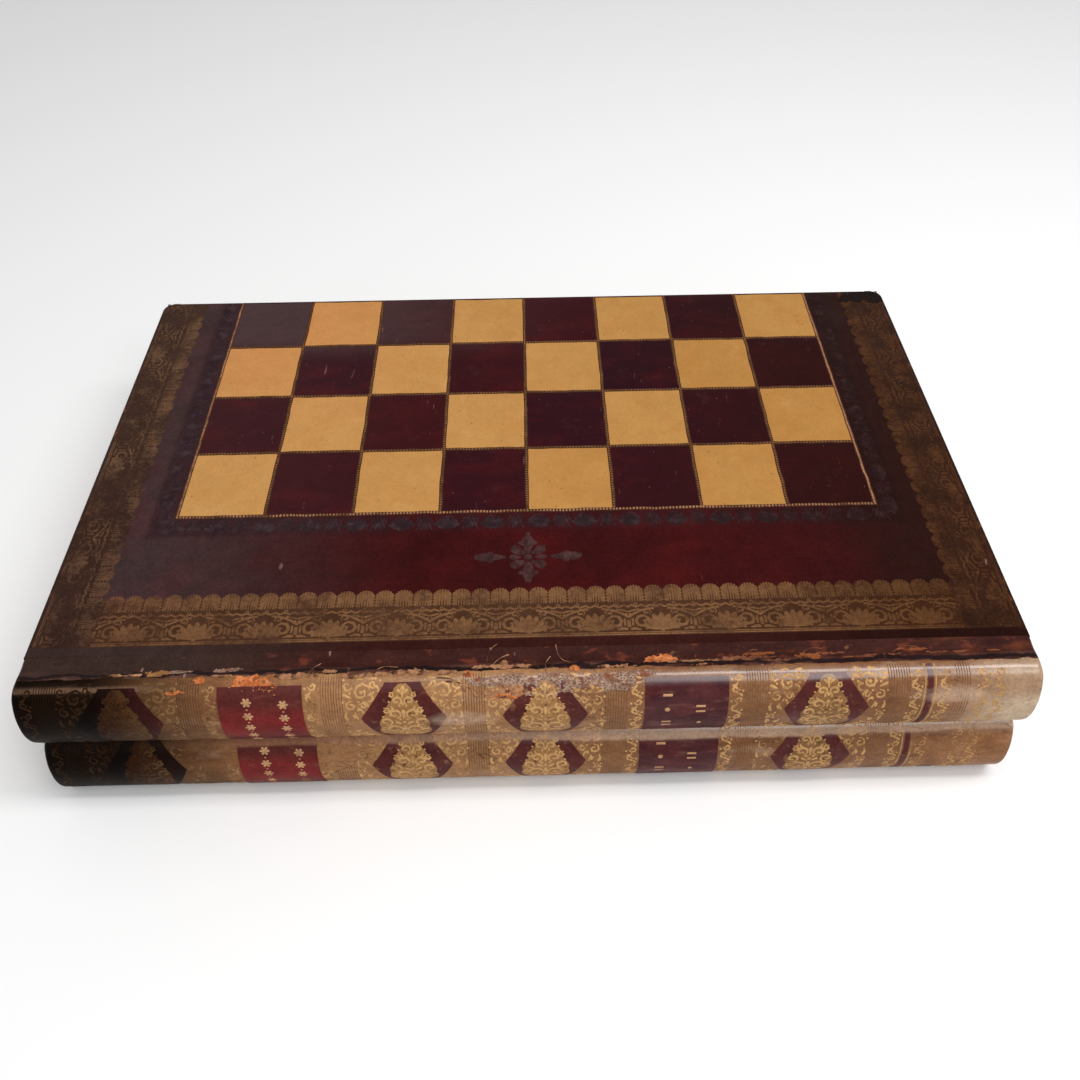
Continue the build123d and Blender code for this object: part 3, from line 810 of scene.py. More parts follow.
def flat_grid(name, low, high, cell):
    """A flat grid between two corners, in cells of about one size."""
    low, high = Vector((*low, 0)), Vector((*high, 0))
    span = high - low
    across, along = (max(1, round(side / cell)) for side in span[:2])
    bpy.ops.object.select_all(action="DESELECT")
    bpy.ops.mesh.primitive_grid_add(x_subdivisions=across, y_subdivisions=along, size=1,
                                    location=(low + high) / 2)
    bpy.context.object.scale = (span.x, span.y, 1)
    return settle(bpy.context.object, name)


print("pieces start as cubes or grids")

# %% [markdown]
# A piece is shaped in edit mode, on vertices, edges or faces that are picked by where they lie: an edge is
# judged by its two ends and a face by its middle. Finished shapes are copied, each copy with its own mesh,
# and joined where the real ones make one layer.

# %% Shaping, copying and joining
def pick(piece, kind, wanted):
    """Goes into edit mode with only the wanted vertices, edges or faces selected."""
    activate(piece)
    bpy.ops.object.mode_set(mode="EDIT")
    bpy.ops.mesh.select_mode(type=kind)
    bpy.ops.mesh.select_all(action="DESELECT")
    bpy.ops.object.mode_set(mode="OBJECT")
    mesh = piece.data
    if kind == "VERT":
        for vertex in mesh.vertices:
            vertex.select = wanted(vertex.co)
    elif kind == "EDGE":
        for edge in mesh.edges:
            first, second = (mesh.vertices[index].co for index in edge.vertices)
            edge.select = wanted(first, second)
    else:
        for face in mesh.polygons:
            face.select = wanted(face.center)
    bpy.ops.object.mode_set(mode="EDIT")


def leave():
    """Goes back to object mode."""
    bpy.ops.object.mode_set(mode="OBJECT")


def modify(piece, kind, **settings):
    """Adds a modifier and applies it."""
    activate(piece)
    bpy.ops.object.modifier_add(type=kind)
    modifier = piece.modifiers[-1]
    for key, value in settings.items():
        setattr(modifier, key, value)
    bpy.ops.object.modifier_apply(modifier=modifier.name)
    return piece


def copied(piece, matrix=None):
    """A copy with its own mesh, moved if a matrix is given."""
    twin = piece.copy()
    twin.data = piece.data.copy()
    bpy.context.collection.objects.link(twin)
    if matrix is not None:
        twin.data.transform(matrix)
        if matrix.determinant() < 0:
            twin.data.flip_normals()
    return twin


def joined(name, pieces):
    """One piece made of several."""
    activate(pieces[0])
    for piece in pieces:
        piece.select_set(True)
    bpy.ops.object.join()
    pieces[0].name = name
    return pieces[0]


print("helpers ready")

# %% [markdown]
# The lower volume is the upper one turned over: the same pieces, mirrored at the seam. What is tooled on the
# spines is not mirrored but repeated, because both volumes stand the same way up on a shelf.

# %% Dressing a piece for both volumes
TURNED_OVER = Matrix.Translation((0, 0, 2 * SEAM)) @ Matrix.Diagonal((1, 1, -1, 1))
ONE_BELOW = Matrix.Translation((0, 0, -spine_low.z))


def dress(piece, name, volume, finish, nodes=(), smooth=35):
    """Gives a piece its name, finish and body, and says which CAD nodes of that volume it stands for."""
    piece.name = volume + "_" + name
    piece.data.materials.clear()
    piece.data.materials.append(finish.material)
    activate(piece)
    bpy.ops.object.shade_smooth_by_angle(angle=math.radians(smooth))
    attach(piece, volume + "_volume")
    if nodes:
        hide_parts(*(volume + "_" + node for node in nodes))


def dress_both(piece, name, finish, nodes=(), smooth=35, below=TURNED_OVER):
    """Dresses an upper piece and its copy in the lower volume."""
    twin = copied(piece, below)
    dress(piece, name, "upper", finish, nodes, smooth)
    dress(twin, name, "lower", finish, nodes, smooth)
    print("made", name, "twice,", len(piece.data.polygons), "faces each")

# %% [markdown]
# The cover is a leathered board. It could be a plain slab, but a real one has rounded fore-edge corners,
# leather that turns softly over every edge, and on its inner side a step where the turned-in leather ends
# against the page block. A cube gets its corner bevel first, then the step by inset and extrude, then the
# soft edges.

# %% The cover
CORNER = 6 * MM
SOFT_EDGE = 1.2 * MM
TURN_IN = 0.8 * MM

cover = block("cover", (-HALF, COVER_FRONT, board_low.z), (HALF, COVER_BACK, TOP))
pick(cover, "EDGE", lambda a, b: abs(a.z - b.z) > NEAR and a.y > 0)
bpy.ops.mesh.bevel(offset=CORNER, segments=6)
leave()
pick(cover, "FACE", lambda middle: middle.z < board_low.z + NEAR)
bpy.ops.mesh.inset(thickness=HALF - page_high_x)
bpy.ops.mesh.extrude_region_move(TRANSFORM_OT_translate={"value": (0, 0, TURN_IN)})
leave()


def on_outline(place):
    """Close to a side, to the back edge or to a rounded corner of the cover."""
    past_x, past_y = abs(place.x) - HALF + CORNER, place.y - COVER_BACK + CORNER
    on_corner = min(past_x, past_y) > 0 and math.hypot(past_x, past_y) > CORNER - 1.5 * MM
    return on_corner or max(past_x, past_y) > CORNER - 2 * MM


def cover_edge(a, b):
    """A level edge at the top or the bottom, along three sides of the cover."""
    level = abs(a.z - b.z) < NEAR and (a.z > TOP - NEAR or a.z < board_low.z + NEAR)
    return level and on_outline(a) and on_outline(b) and max(a.y, b.y) > 0


pick(cover, "EDGE", cover_edge)
bpy.ops.mesh.bevel(offset=SOFT_EDGE, segments=3)
leave()
dress_both(cover, "cover_leather_skin", cover_calf, ["cover_leather"])

# %% [markdown]
# One square is modelled, with a softened edge and a middle that stands a little proud, as padded leather
# does, and copied into its places. Which places are light depends on the volume: the two half boards have to
# alternate across the hinge when the box lies open. The last row is a little shorter, because the cover's
# edge turns there.

# %% The squares
SQUARE_GAP = 0.25 * MM
SQUARE_DEPTH = 0.6 * MM
SQUARE_LIFT = 0.06 * MM
PADDING = 0.12 * MM
BACK_EDGE = 0.9 * MM
WANDER = 1.0 * MM

hand_cut = bpy.data.textures.new("hand_cut", "CLOUDS")
hand_cut.noise_scale = 8 * MM


def uneven(piece):
    """Lets the lines of a flat piece wander a little, as lines cut and tooled by hand do."""
    for direction in ("X", "Y"):
        modify(piece, "DISPLACE", texture=hand_cut, texture_coords="LOCAL", direction=direction,
               strength=WANDER)
    return piece


pattern_low = (SQUARE_GAP, SQUARE_GAP, -SQUARE_DEPTH)
pattern = block("square", pattern_low, (SQUARE - SQUARE_GAP, SQUARE - SQUARE_GAP, 0))
pick(pattern, "FACE", lambda middle: middle.z > -NEAR)
bpy.ops.mesh.bevel(offset=0.3 * MM, segments=2)
leave()
pick(pattern, "FACE", lambda middle: middle.z > -NEAR)
bpy.ops.mesh.inset(thickness=1.6 * MM)
bpy.ops.transform.translate(value=(0, 0, PADDING))
bpy.ops.mesh.select_all(action="SELECT")
bpy.ops.mesh.subdivide(number_cuts=5)
leave()


def squares(light):
    """Sixteen copies of the square, on the upper cover's light or dark places."""
    copies = []
    for row in range(4):
        shorter = 1 - (BACK_EDGE / SQUARE if row == 3 else 0)
        for column in range(8):
            if ((row + column) % 2 == 0) == light:
                x, y = column * SQUARE - BLOCK_HALF, SQUARES_FRONT + row * SQUARE
                place = Matrix.Translation((x, y, TOP + SQUARE_LIFT)) @ Matrix.Diagonal((1, shorter, 1, 1))
                copies.append(copied(pattern, place))
    return uneven(joined("squares", copies))


for shade, finish in (("light", light_calf), ("dark", dark_calf)):
    slot_name, node_name = shade + "_square_leather", shade + "_squares"
    dress(squares(shade == "light"), node_name + "_waxed", "upper", finish, [node_name])
    below = squares(shade == "dark")
    below.data.transform(TURNED_OVER)
    below.data.flip_normals()
    dress(below, node_name + "_waxed", "lower", finish, [node_name])
bpy.data.objects.remove(pattern)
print("64 squares laid")

# %% [markdown]
# The spine's section is two small corner arcs with one large arc between them, and behind the crest the
# leather dips through the joint. Everything on the spine, from the leather to the gilding, is drawn flat and
# then wrapped by one function, so that it all fits. Flat x runs along the spine, flat y runs up over it and
# is zero at the crest, and flat z stands off it. A slow wave keeps the leather from looking like sheet
# metal.

# %% The curve of the spine
SPINE_CORNER = 9 * MM
GROOVE_WIDTH = 10 * MM
GROOVE_DEPTH = 1.8 * MM
CREST_FLAT = 2 * MM
END_ROUND = 1.5 * MM
GROOVE_FADE = 14 * MM

JOINT = GROOVE_WIDTH + CREST_FLAT
CREST = COVER_FRONT - JOINT
half_volume = VOLUME / 2
arc_radius = (BULGE**2 + half_volume**2 - 2 * half_volume * SPINE_CORNER) / (2 * (BULGE - SPINE_CORNER))
corner_turn = math.atan2(half_volume - SPINE_CORNER, arc_radius - BULGE)
corner_arc = SPINE_CORNER * (math.pi / 2 - corner_turn)
SPINE_ARC = 2 * corner_arc + 2 * arc_radius * corner_turn


def spine_point(run):
    """Where a run down the spine from its crest comes to: y, depth, and the outward direction there."""
    if run <= 0:
        share = min(1.0, max(0.0, (-run - CREST_FLAT) / GROOVE_WIDTH))
        return CREST - run, GROOVE_DEPTH * math.sin(math.pi * share) ** 2, 0.0, -1.0
    if run >= SPINE_ARC:
        return CREST + run - SPINE_ARC, VOLUME, 0.0, 1.0
    if run < corner_arc:
        angle = math.pi / 2 - run / SPINE_CORNER
        radius, y, depth = SPINE_CORNER, CREST, SPINE_CORNER
    elif run < SPINE_ARC - corner_arc:
        angle = corner_turn - (run - corner_arc) / arc_radius
        radius, y, depth = arc_radius, CREST - BULGE + arc_radius, half_volume
    else:
        angle = (SPINE_ARC - run) / SPINE_CORNER - math.pi / 2
        radius, y, depth = SPINE_CORNER, CREST, VOLUME - SPINE_CORNER
    outward_y, outward_depth = -math.cos(angle), -math.sin(angle)
    return y + radius * outward_y, depth + radius * outward_depth, outward_y, outward_depth


def lay_on_spine(piece):
    """Wraps a flat piece round the upper spine, drawn in where the ends turn over."""
    for vertex in piece.data.vertices:
        x, up, lift = vertex.co
        wave = 0.24 * noise.noise(Vector((x * 22, up * 30, 1.0)))
        wave += 0.08 * noise.noise(Vector((x * 90, up * 70, 5.0)))
        beyond = min(max(0.0, abs(x) - HALF + END_ROUND), END_ROUND)
        drawn_in = END_ROUND - math.sqrt(END_ROUND**2 - beyond**2)
        y, depth, outward_y, outward_depth = spine_point(-up)
        if up > 0:
            depth *= 1 - 0.75 * max(0.0, 1 - (HALF - abs(x)) / GROOVE_FADE)
        stand = lift - drawn_in + min(wave - 0.08, 0.0) * MM
        vertex.co = (x, y + outward_y * stand, TOP - depth - outward_depth * stand)
    return piece


print("the spine measures", round(SPINE_ARC / MM, 1), "mm round its curve")

# %% [markdown]
# The spine's leather is a fine grid wrapped round that curve. Its upper edge is then extruded down and back
# to the wood, bridged to the turned-in edge below, and the two ends are filled, which makes it one closed
# shell.

# %% The spine's leather
BOARD_DEPTH = 4.7 * MM
SEAM_TURN = rim_low.y - CREST

spine_skin = flat_grid("spine_skin", (-HALF, -SPINE_ARC - SEAM_TURN), (HALF, JOINT), 1.2 * MM)
lay_on_spine(spine_skin)


def on_upper_edge(a, b):
    """The edge of the grid that lies against the cover."""
    return min(a.y, b.y) > COVER_FRONT - NEAR and min(a.z, b.z) > TOP - 2 * MM


pick(spine_skin, "EDGE", on_upper_edge)
bpy.ops.mesh.extrude_region_move(TRANSFORM_OT_translate={"value": (0, 0, -BOARD_DEPTH)})
bpy.ops.mesh.extrude_region_move(TRANSFORM_OT_translate={"value": (0, rim_low.y - COVER_FRONT, 0)})
leave()


def on_open_long_edges(a, b):
    """The two long edges that are still open, one above the other at the wood."""
    above = abs(a.z - b.z) < 0.5 * MM and TOP - 8 * MM < a.z < TOP - 4 * MM and a.x != b.x
    below = max(a.z, b.z) < spine_low.z + 2 * MM and a.x != b.x
    return min(a.y, b.y) > rim_low.y - NEAR and max(a.y, b.y) < rim_low.y + NEAR and (above or below)


pick(spine_skin, "EDGE", on_open_long_edges)
bpy.ops.mesh.bridge_edge_loops()
leave()
for side in (-1, 1):
    pick(spine_skin, "EDGE", lambda a, b: min(a.x * side, b.x * side) > HALF - NEAR)
    bpy.ops.mesh.edge_face_add()
    leave()
activate(spine_skin)
bpy.ops.object.mode_set(mode="EDIT")
bpy.ops.mesh.select_all(action="SELECT")
bpy.ops.mesh.normals_make_consistent(inside=False)
leave()
dress_both(spine_skin, "spine_leather_skin", spine_calf, ["spine_leather"], smooth=50)

# %% [markdown]
# Labels and lozenges are thin leather pasted over the spine. Each is a small grid whose rows may be narrower
# or wider, wrapped round the spine and given its thickness inwards.

# %% Labels and lozenges
def onlay(name, middle_x, half_width, low, high, lift, cell=1.0 * MM):
    """A patch of thin leather whose half width is a function of the height above the crest."""
    widest = max(half_width(low + (high - low) * step / 20) for step in range(21))
    piece = flat_grid(name, (-widest, low), (widest, high), cell)
    for vertex in piece.data.vertices:
        vertex.co = (middle_x + vertex.co.x / widest * half_width(vertex.co.y), vertex.co.y, lift)
    lay_on_spine(piece)
    return modify(piece, "SOLIDIFY", thickness=lift + 0.25 * MM, offset=-1)


LABEL_LIFT = 0.3 * MM
ONLAY_LIFT = 0.12 * MM
PLAQUE_LIFT = 0.2 * MM
labels = (("title_label", title_morocco, 3.8 * MM), ("number_label", number_morocco, 3.9 * MM))
for name, finish, margin in labels:
    low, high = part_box("upper_" + name)
    half_length = (high.x - low.x) / 2
    middle = (low.x + high.x) / 2
    label = onlay(name, middle, lambda up: half_length, 5.6 * MM - SPINE_ARC, -margin, LABEL_LIFT)
    dress_both(label, name + "_pasted", finish, [name], below=ONE_BELOW)

LOZENGES = (-171.5 * MM, -53.1 * MM, 6.1 * MM, 124.5 * MM)


def lozenge_width(up):
    """Half width of a lozenge: narrow and cut off above and below, widest at the middle of the spine."""
    away = up + 20.5 * MM
    return 7.6 * MM + 10.4 * MM * max(0.0, 1 - max(away / (16.5 * MM), -away / (22 * MM)))


PLAQUE_SHARES = (0.0, 0.05, 0.12, 0.2, 0.26, 0.34, 0.41, 0.46, 0.54, 0.61, 0.67, 0.72, 0.79, 0.86, 0.92, 1.0)
PLAQUE_HALVES = (1.5, 3.4, 4.5, 4.4, 6.2, 7.7, 7.5, 8.8, 10.3, 10.6, 10.1, 10.8, 10.9, 10.0, 8.0, 4.6)


def plaque_width(up):
    """Half the plaque's width at a height: three lobes on each side, one over the other."""
    share = min(1.0, max(0.0, (-up - 4.0 * MM) / (34 * MM)))
    after = next(number for number in range(1, len(PLAQUE_SHARES)) if share <= PLAQUE_SHARES[number])
    low, high = PLAQUE_SHARES[after - 1], PLAQUE_SHARES[after]
    part = (share - low) / (high - low)
    return (PLAQUE_HALVES[after - 1] * (1 - part) + PLAQUE_HALVES[after] * part) * MM


BAND_X = 167.2 * MM
lozenge_parts = [onlay("lozenge", x, lozenge_width, -43 * MM, -3.4 * MM, ONLAY_LIFT) for x in LOZENGES]
lozenge_parts.append(onlay("band", BAND_X, lambda up: 1.2 * MM, -SPINE_ARC, -0.5 * MM, ONLAY_LIFT, 0.8 * MM))
dress_both(joined("lozenges", lozenge_parts), "spine_lozenges", onlay_calf, below=ONE_BELOW)
plaques = [onlay("plaque", x, plaque_width, -38 * MM, -4.0 * MM, PLAQUE_LIFT, 0.8 * MM) for x in LOZENGES]
dress_both(joined("plaques", plaques), "spine_plaques", plaque_calf, below=ONE_BELOW)

# %% [markdown]
# Gold tooling is pressed with small engraved stamps: curls, leaves and dots, repeated. Each mark is a list
# of points with a width at each, which swells and tapers as a stamped line does. Sizes are in millimetres.

# %% Stamps for gold tooling
def line(start, end, width, steps=1):
    """A straight rule with blunt ends."""
    points = []
    for step in range(steps + 1):
        share = step / steps
        points.append((start[0] + (end[0] - start[0]) * share, start[1] + (end[1] - start[1]) * share, width))
    return points


def curl(middle, radius, start, turn, width, steps=9):
    """A scroll that winds inwards from its thin open end to a bulb."""
    points = []
    for step in range(steps + 1):
        share = step / steps
        angle = math.radians(start + turn * share)
        reach = radius * (1 - 0.72 * share)
        swell = 0.4 + 0.6 * math.sin(math.pi * share) + (0.6 if step == steps else 0.0)
        x, y = middle[0] + reach * math.cos(angle), middle[1] + reach * math.sin(angle)
        points.append((x, y, width * swell))
    return points


def leaf(base, tip, width, bend=0.0):
    """A leaf or petal, widest beyond its middle, that may bend to one side."""
    points = []
    for share, swell in ((0.0, 0.3), (0.45, 0.85), (0.8, 1.0), (1.0, 0.4)):
        aside = bend * math.sin(math.pi * share)
        x = base[0] + (tip[0] - base[0]) * share - (tip[1] - base[1]) * aside
        y = base[1] + (tip[1] - base[1]) * share + (tip[0] - base[0]) * aside
        points.append((x, y, width * swell))
    return points


def dot(x, y, size):
    """A round dot: a very short mark whose ends are thin."""
    places = ((-size / 2, 0.4 * size), (-size / 5, size), (size / 5, size), (size / 2, 0.4 * size))
    return [(x + aside, y, width) for aside, width in places]


def fan(base, reach, width, spread, count):
    """Petals that spread from one point, upwards."""
    petals = []
    for number in range(count):
        angle = math.radians(90 + spread * (number / (count - 1) - 0.5))
        tip = (base[0] + reach * math.cos(angle), base[1] + reach * math.sin(angle))
        petals.append(leaf(base, tip, width))
    return petals


def mirrored(marks):
    """The marks and their reflections across the upright middle line."""
    return marks + [[(-x, y, width) for x, y, width in mark] for mark in marks]


def placed(marks, x, y, turn=0.0, size=1.0):
    """The marks moved to a place, turned by degrees and scaled."""
    c, s = size * math.cos(math.radians(turn)), size * math.sin(math.radians(turn))
    return [[(x + c * px - s * py, y + s * px + c * py, w * size) for px, py, w in mark] for mark in marks]


print("lines, curls, leaves, dots and fans can be drawn")

# %% [markdown]
# A list of marks becomes a curve that is as thick as each point's width. The curve is made a mesh and
# pressed nearly flat, which leaves a low rounded ridge that catches the light like old gold leaf.

# %% From marks to tooling
RELIEF = 0.14 * MM
PRESSED = 0.4


def tooled(name, marks):
    """All the marks as one mesh, flat and pressed thin."""
    drawing = bpy.data.curves.new(name, "CURVE")
    drawing.dimensions = "3D"
    drawing.twist_mode = "Z_UP"
    drawing.bevel_depth = 0.5 * MM
    drawing.bevel_resolution = 0
    drawing.use_fill_caps = True
    for mark in marks:
        spline = drawing.splines.new("POLY")
        spline.points.add(len(mark) - 1)
        for point, (x, y, width) in zip(spline.points, mark):
            point.co = (x * MM, y * MM, 0, 1)
            point.radius = width
    piece = bpy.data.objects.new(name, drawing)
    bpy.context.collection.objects.link(piece)
    activate(piece)
    bpy.ops.object.convert(target="MESH")
    for vertex in piece.data.vertices:
        vertex.co.z = max(-RELIEF, min(RELIEF, vertex.co.z * PRESSED))
    return piece


print("stamps ready")

# %% [markdown]
# Between the squares run beaded fillets: a narrow dark bar with a row of tiny gilt dots on it. At the
# board's two sides a solid gilt line joins the dots. One bar, one row of beads and one line are made for
# each direction. An array repeats the bead, and copies make the rows.

# %% Beaded fillets between the squares
FILLET_HALF = 1.05 * MM
FILLET_TOP = 0.1 * MM
FILLET_SUNK = 0.3 * MM
LINE_HALF = 0.4 * MM
BEAD_PITCH = 1.6 * MM
BEAD_RADIUS = 0.62 * MM


def fillet_row(length):
    """A soft-edged bar, and a narrow gilt line with its beads, all along x from zero."""
    low, high = (-FILLET_HALF, -FILLET_HALF, -FILLET_SUNK), (length + FILLET_HALF, FILLET_HALF, FILLET_TOP)
    bar = block("bar", low, high)
    pick(bar, "FACE", lambda middle: middle.z > FILLET_TOP - NEAR)
    bpy.ops.mesh.bevel(offset=0.12 * MM, segments=2)
    leave()
    bpy.ops.object.select_all(action="DESELECT")
    bpy.ops.mesh.primitive_ico_sphere_add(subdivisions=1, radius=BEAD_RADIUS, location=(0, 0, FILLET_TOP))
    bpy.context.object.scale = (1, 1, 0.45)
    bead = settle(bpy.context.object, "bead")
    count = round(length / BEAD_PITCH) + 1
    modify(bead, "ARRAY", count=count, use_relative_offset=False, use_constant_offset=True,
           constant_offset_displace=(length / (count - 1), 0, 0))
    gilt = block("line", (0, -LINE_HALF, -FILLET_SUNK), (length, LINE_HALF, FILLET_TOP + 0.05 * MM))
    for piece in (bar, gilt):
        pick(piece, "EDGE", lambda a, b: abs(a.x - b.x) > length / 2)
        bpy.ops.mesh.subdivide(number_cuts=round(length / (3 * MM)))
        leave()
    return bar, bead, gilt


bars, beads, lines = [], [], []
last_line = COVER_BACK - BACK_EDGE
along = fillet_row(2 * BLOCK_HALF)
for row in range(4):
    place = Matrix.Translation((-BLOCK_HALF, SQUARES_FRONT + row * SQUARE, TOP))
    bars.append(copied(along[0], place))
    if row == 0:
        lines.append(copied(along[1], place @ Matrix.Diagonal((1, 1.3, 1.2, 1))))
    else:
        beads.append(copied(along[1], place))
across = fillet_row(last_line - SQUARES_FRONT - FILLET_HALF)
for column in range(9):
    place = Matrix.Translation((column * SQUARE - BLOCK_HALF, SQUARES_FRONT, TOP - 0.01 * MM))
    place = place @ Matrix.Rotation(math.pi / 2, 4, "Z")
    bars.append(copied(across[0], place))
    if column in (0, 8):
        lines += [copied(across[1], place), copied(across[2], place)]
    else:
        beads.append(copied(across[1], place))
for spare in (*along, *across):
    bpy.data.objects.remove(spare)
dress_both(uneven(joined("bars", bars)), "fillets", fillet_calf)
dress_both(uneven(joined("beads", beads)), "fillet_beads", fillet_gold)
dress_both(uneven(joined("lines", lines)), "outer_lines", line_gold)

# %% [markdown]
# A blind roll frames the squares on three sides. Rounds and arched palmettes follow each other, pressed with
# a hot wheel and no gold. The two stamps are modelled once and copied along each side.

# %% The blind roll
def ring(x, y, radius, width, steps=14):
    """A thin circle."""
    points = []
    for step in range(steps + 1):
        angle = 2 * math.pi * step / steps
        points.append((x + radius * math.cos(angle), y + radius * math.sin(angle), width))
    return points


def copies_along(stamp, start, end, pitch, turn, offset=0.0):
    """Copies of a stamp evenly spaced between two points on the cover, each turned by degrees."""
    start, end = Vector(start), Vector(end)
    count = max(1, round((end - start).length / pitch))
    made = []
    for number in range(count):
        spot = start.lerp(end, (number + 0.5 + offset) / count)
        place = Matrix.Translation((spot.x, spot.y, TOP)) @ Matrix.Rotation(math.radians(turn), 4, "Z")
        made.append(copied(stamp, place))
    return made


BLIND_MIDDLE = 6.4 * MM
BLIND_PERIOD = 22 * MM
round_marks = fan((0, -3.9), 7.8, 2.3, 130, 7) + mirrored([leaf((0.8, -4.8), (4.6, -3.4), 1.5, 0.2)])
round_marks += [ring(0, 0.2, 4.5, 0.7)]
arch_marks = mirrored([
    leaf((4.0, -4.6), (0.7, 4.4), 1.7),
    leaf((1.8, -4.2), (0.5, 0.4), 1.4),
    leaf((4.8, -1.2), (2.6, 4.2), 0.9)])
arch_marks += [leaf((0, -4.4), (0, 2.4), 1.5), dot(0, 5.4, 1.1)]
round_stamp = tooled("round_stamp", placed(round_marks, 0, 0, 0, 0.87))
arch_stamp = tooled("arch_stamp", placed(arch_marks, 0, 0, 0, 0.92))

blind = []
frame_x, frame_y = BLOCK_HALF + BLIND_MIDDLE, SQUARES_FRONT - BLIND_MIDDLE
front_left, front_right = (-frame_x, frame_y), (frame_x, frame_y)
back_left, back_right = (-frame_x, COVER_BACK - 3 * MM), (frame_x, COVER_BACK - 3 * MM)
three_sides = ((front_left, front_right, 0), (back_left, front_left, -90), (front_right, back_right, 90))
for start, end, turn in three_sides:
    blind += copies_along(round_stamp, start, end, BLIND_PERIOD, turn, -0.25)
    blind += copies_along(arch_stamp, start, end, BLIND_PERIOD, turn, 0.25)
bpy.data.objects.remove(round_stamp)
bpy.data.objects.remove(arch_stamp)
dress_both(joined("blind", blind), "blind_roll", blind_calf)

# %% [markdown]
# One fleuron stands alone in the middle of the plain panel. It is a large stamp, so its leaves are broad: an
# upright pair, four lobes round a knot, and an arm to each side.

# %% The fleuron
FLEURON_MIDDLE = -28 * MM
upright = [
    leaf((0, 2), (0, 12.6), 5.6),
    leaf((0, -2.4), (0, -12.4), 5.8),
    dot(0, 0, 3.8), dot(0, 13.6, 2.2), dot(0, -12.6, 3.4)]
lobes = mirrored([
    leaf((1.4, 2.2), (7.2, 6.4), 5.0, -0.12),
    leaf((1.4, -2.6), (7.4, -6.0), 5.0, 0.12),
    leaf((1.2, 7), (4.4, 9.0), 2.4),
    leaf((1.2, -8), (4.4, -9.4), 2.4)])
arms = mirrored([
    leaf((10.4, 0.2), (24.4, 0.4), 4.8),
    dot(23.4, 0.4, 3.0),
    leaf((13, 0.6), (18.4, 3.2), 2.8, -0.2),
    leaf((13, -0.4), (18.4, -2.8), 2.8, 0.2),
    leaf((3.2, 0), (8.6, 0.1), 2.8)])
fleuron = tooled("fleuron", upright + lobes + arms)
fleuron.data.transform(Matrix.Translation((0, SQUARES_FRONT + FLEURON_MIDDLE, TOP)))
dress_both(fleuron, "fleuron", waxed_calf)

# %% [markdown]
# The gilt roll is the richest thing on the cover: a row of scallop shells under a thin garland, and outside
# it palmettes, scrolls and swags between thin rules. Real finishers rolled it with an engraved wheel, so the
# same length repeats all round. Here one shell and one length of the band are the wheel, and copies do the
# rolling.

# %% The gilt roll's stamps
ROLL_FRONT = 45 * MM
ROLL_SIDE = 20 * MM
SHELL_PITCH = 8.5 * MM
BAND_PITCH = 29.5 * MM


def petal(base, tip, width):
    """A plain petal with few points, for stamps that are repeated many times."""
    middle = (base[0] * 0.4 + tip[0] * 0.6, base[1] * 0.4 + tip[1] * 0.6)
    return [(*base, width * 0.4), (*middle, width), (*tip, width * 0.75)]


shell_tips = ((1.25, -0.3), (2.4, -0.8), (3.3, -1.8))
shell_marks = mirrored([petal((tip[0] * 0.96, -9.0), tip, 1.3) for tip in shell_tips])
shell_marks += mirrored([dot(3.6, height, 1.1) for height in (-3.0, -4.7, -6.4, -8.0)])
shell_marks += [petal((0, -9.0), (0, -0.1), 1.2), ring(0, -10.3, 0.75, 0.45, 6)]
shell = tooled("shell", shell_marks)

garland = [(1.055 * n, -11.3 + 0.5 * math.cos(math.pi * n / 2), 1.0) for n in range(-14, 15)]
swag = [(3.0 + 11.7 * t, -12.6 - 4.6 * t * t, 1.1) for t in (0, 0.25, 0.5, 0.75, 1)]
band_marks = mirrored([
    curl((8.6, -19.6), 4.0, 200, -430, 1.5),
    curl((6.2, -14.4), 2.0, 240, -400, 1.0, 7),
    leaf((3.6, -21.6), (7.2, -23.6), 1.6, 0.2),
    leaf((9.2, -23.7), (14.0, -23.3), 1.5, 0.1),
    line((14.75, -18.6), (14.75, -22.4), 1.0),
    line((12.7, -17.8), (12.7, -21.6), 1.0),
    line((10.8, -13.2), (14.4, -14.2), 0.8),
    dot(9.9, -13.2, 1.2),
    dot(13.6, -15.6, 1.2),
    swag])
band_marks += fan((0, -23.6), 8.6, 2.7, 150, 7) + [garland, leaf((0, -24.6), (0, -20.6), 4.0)]
band = tooled("band", band_marks)
print("one shell has", len(shell.data.polygons), "faces, one length of band", len(band.data.polygons))

# %% [markdown]
# The roll runs along the front first, and then up both sides, where it is a little narrower. Two thin rules
# close it outwards.

# %% The gilt roll rolled out
roll_y = SQUARES_FRONT - ROLL_FRONT
roll_x = BLOCK_HALF + ROLL_SIDE
ends = COVER_BACK - 0.8 * MM
front = copies_along(shell, (-roll_x, roll_y), (roll_x, roll_y), SHELL_PITCH, 0)
front += copies_along(band, (-roll_x, roll_y), (roll_x, roll_y), BAND_PITCH, 0)
rules = [line((-roll_x / MM, roll_y / MM - y), (roll_x / MM, roll_y / MM - y), width)
         for y, width in ((24.9, 0.5), (25.8, 0.8))]
front_rules = tooled("rules", rules)
front_rules.data.transform(Matrix.Translation((0, 0, TOP)))
dress_both(joined("front", front + [front_rules]), "gilt_roll_front", roll_gold)

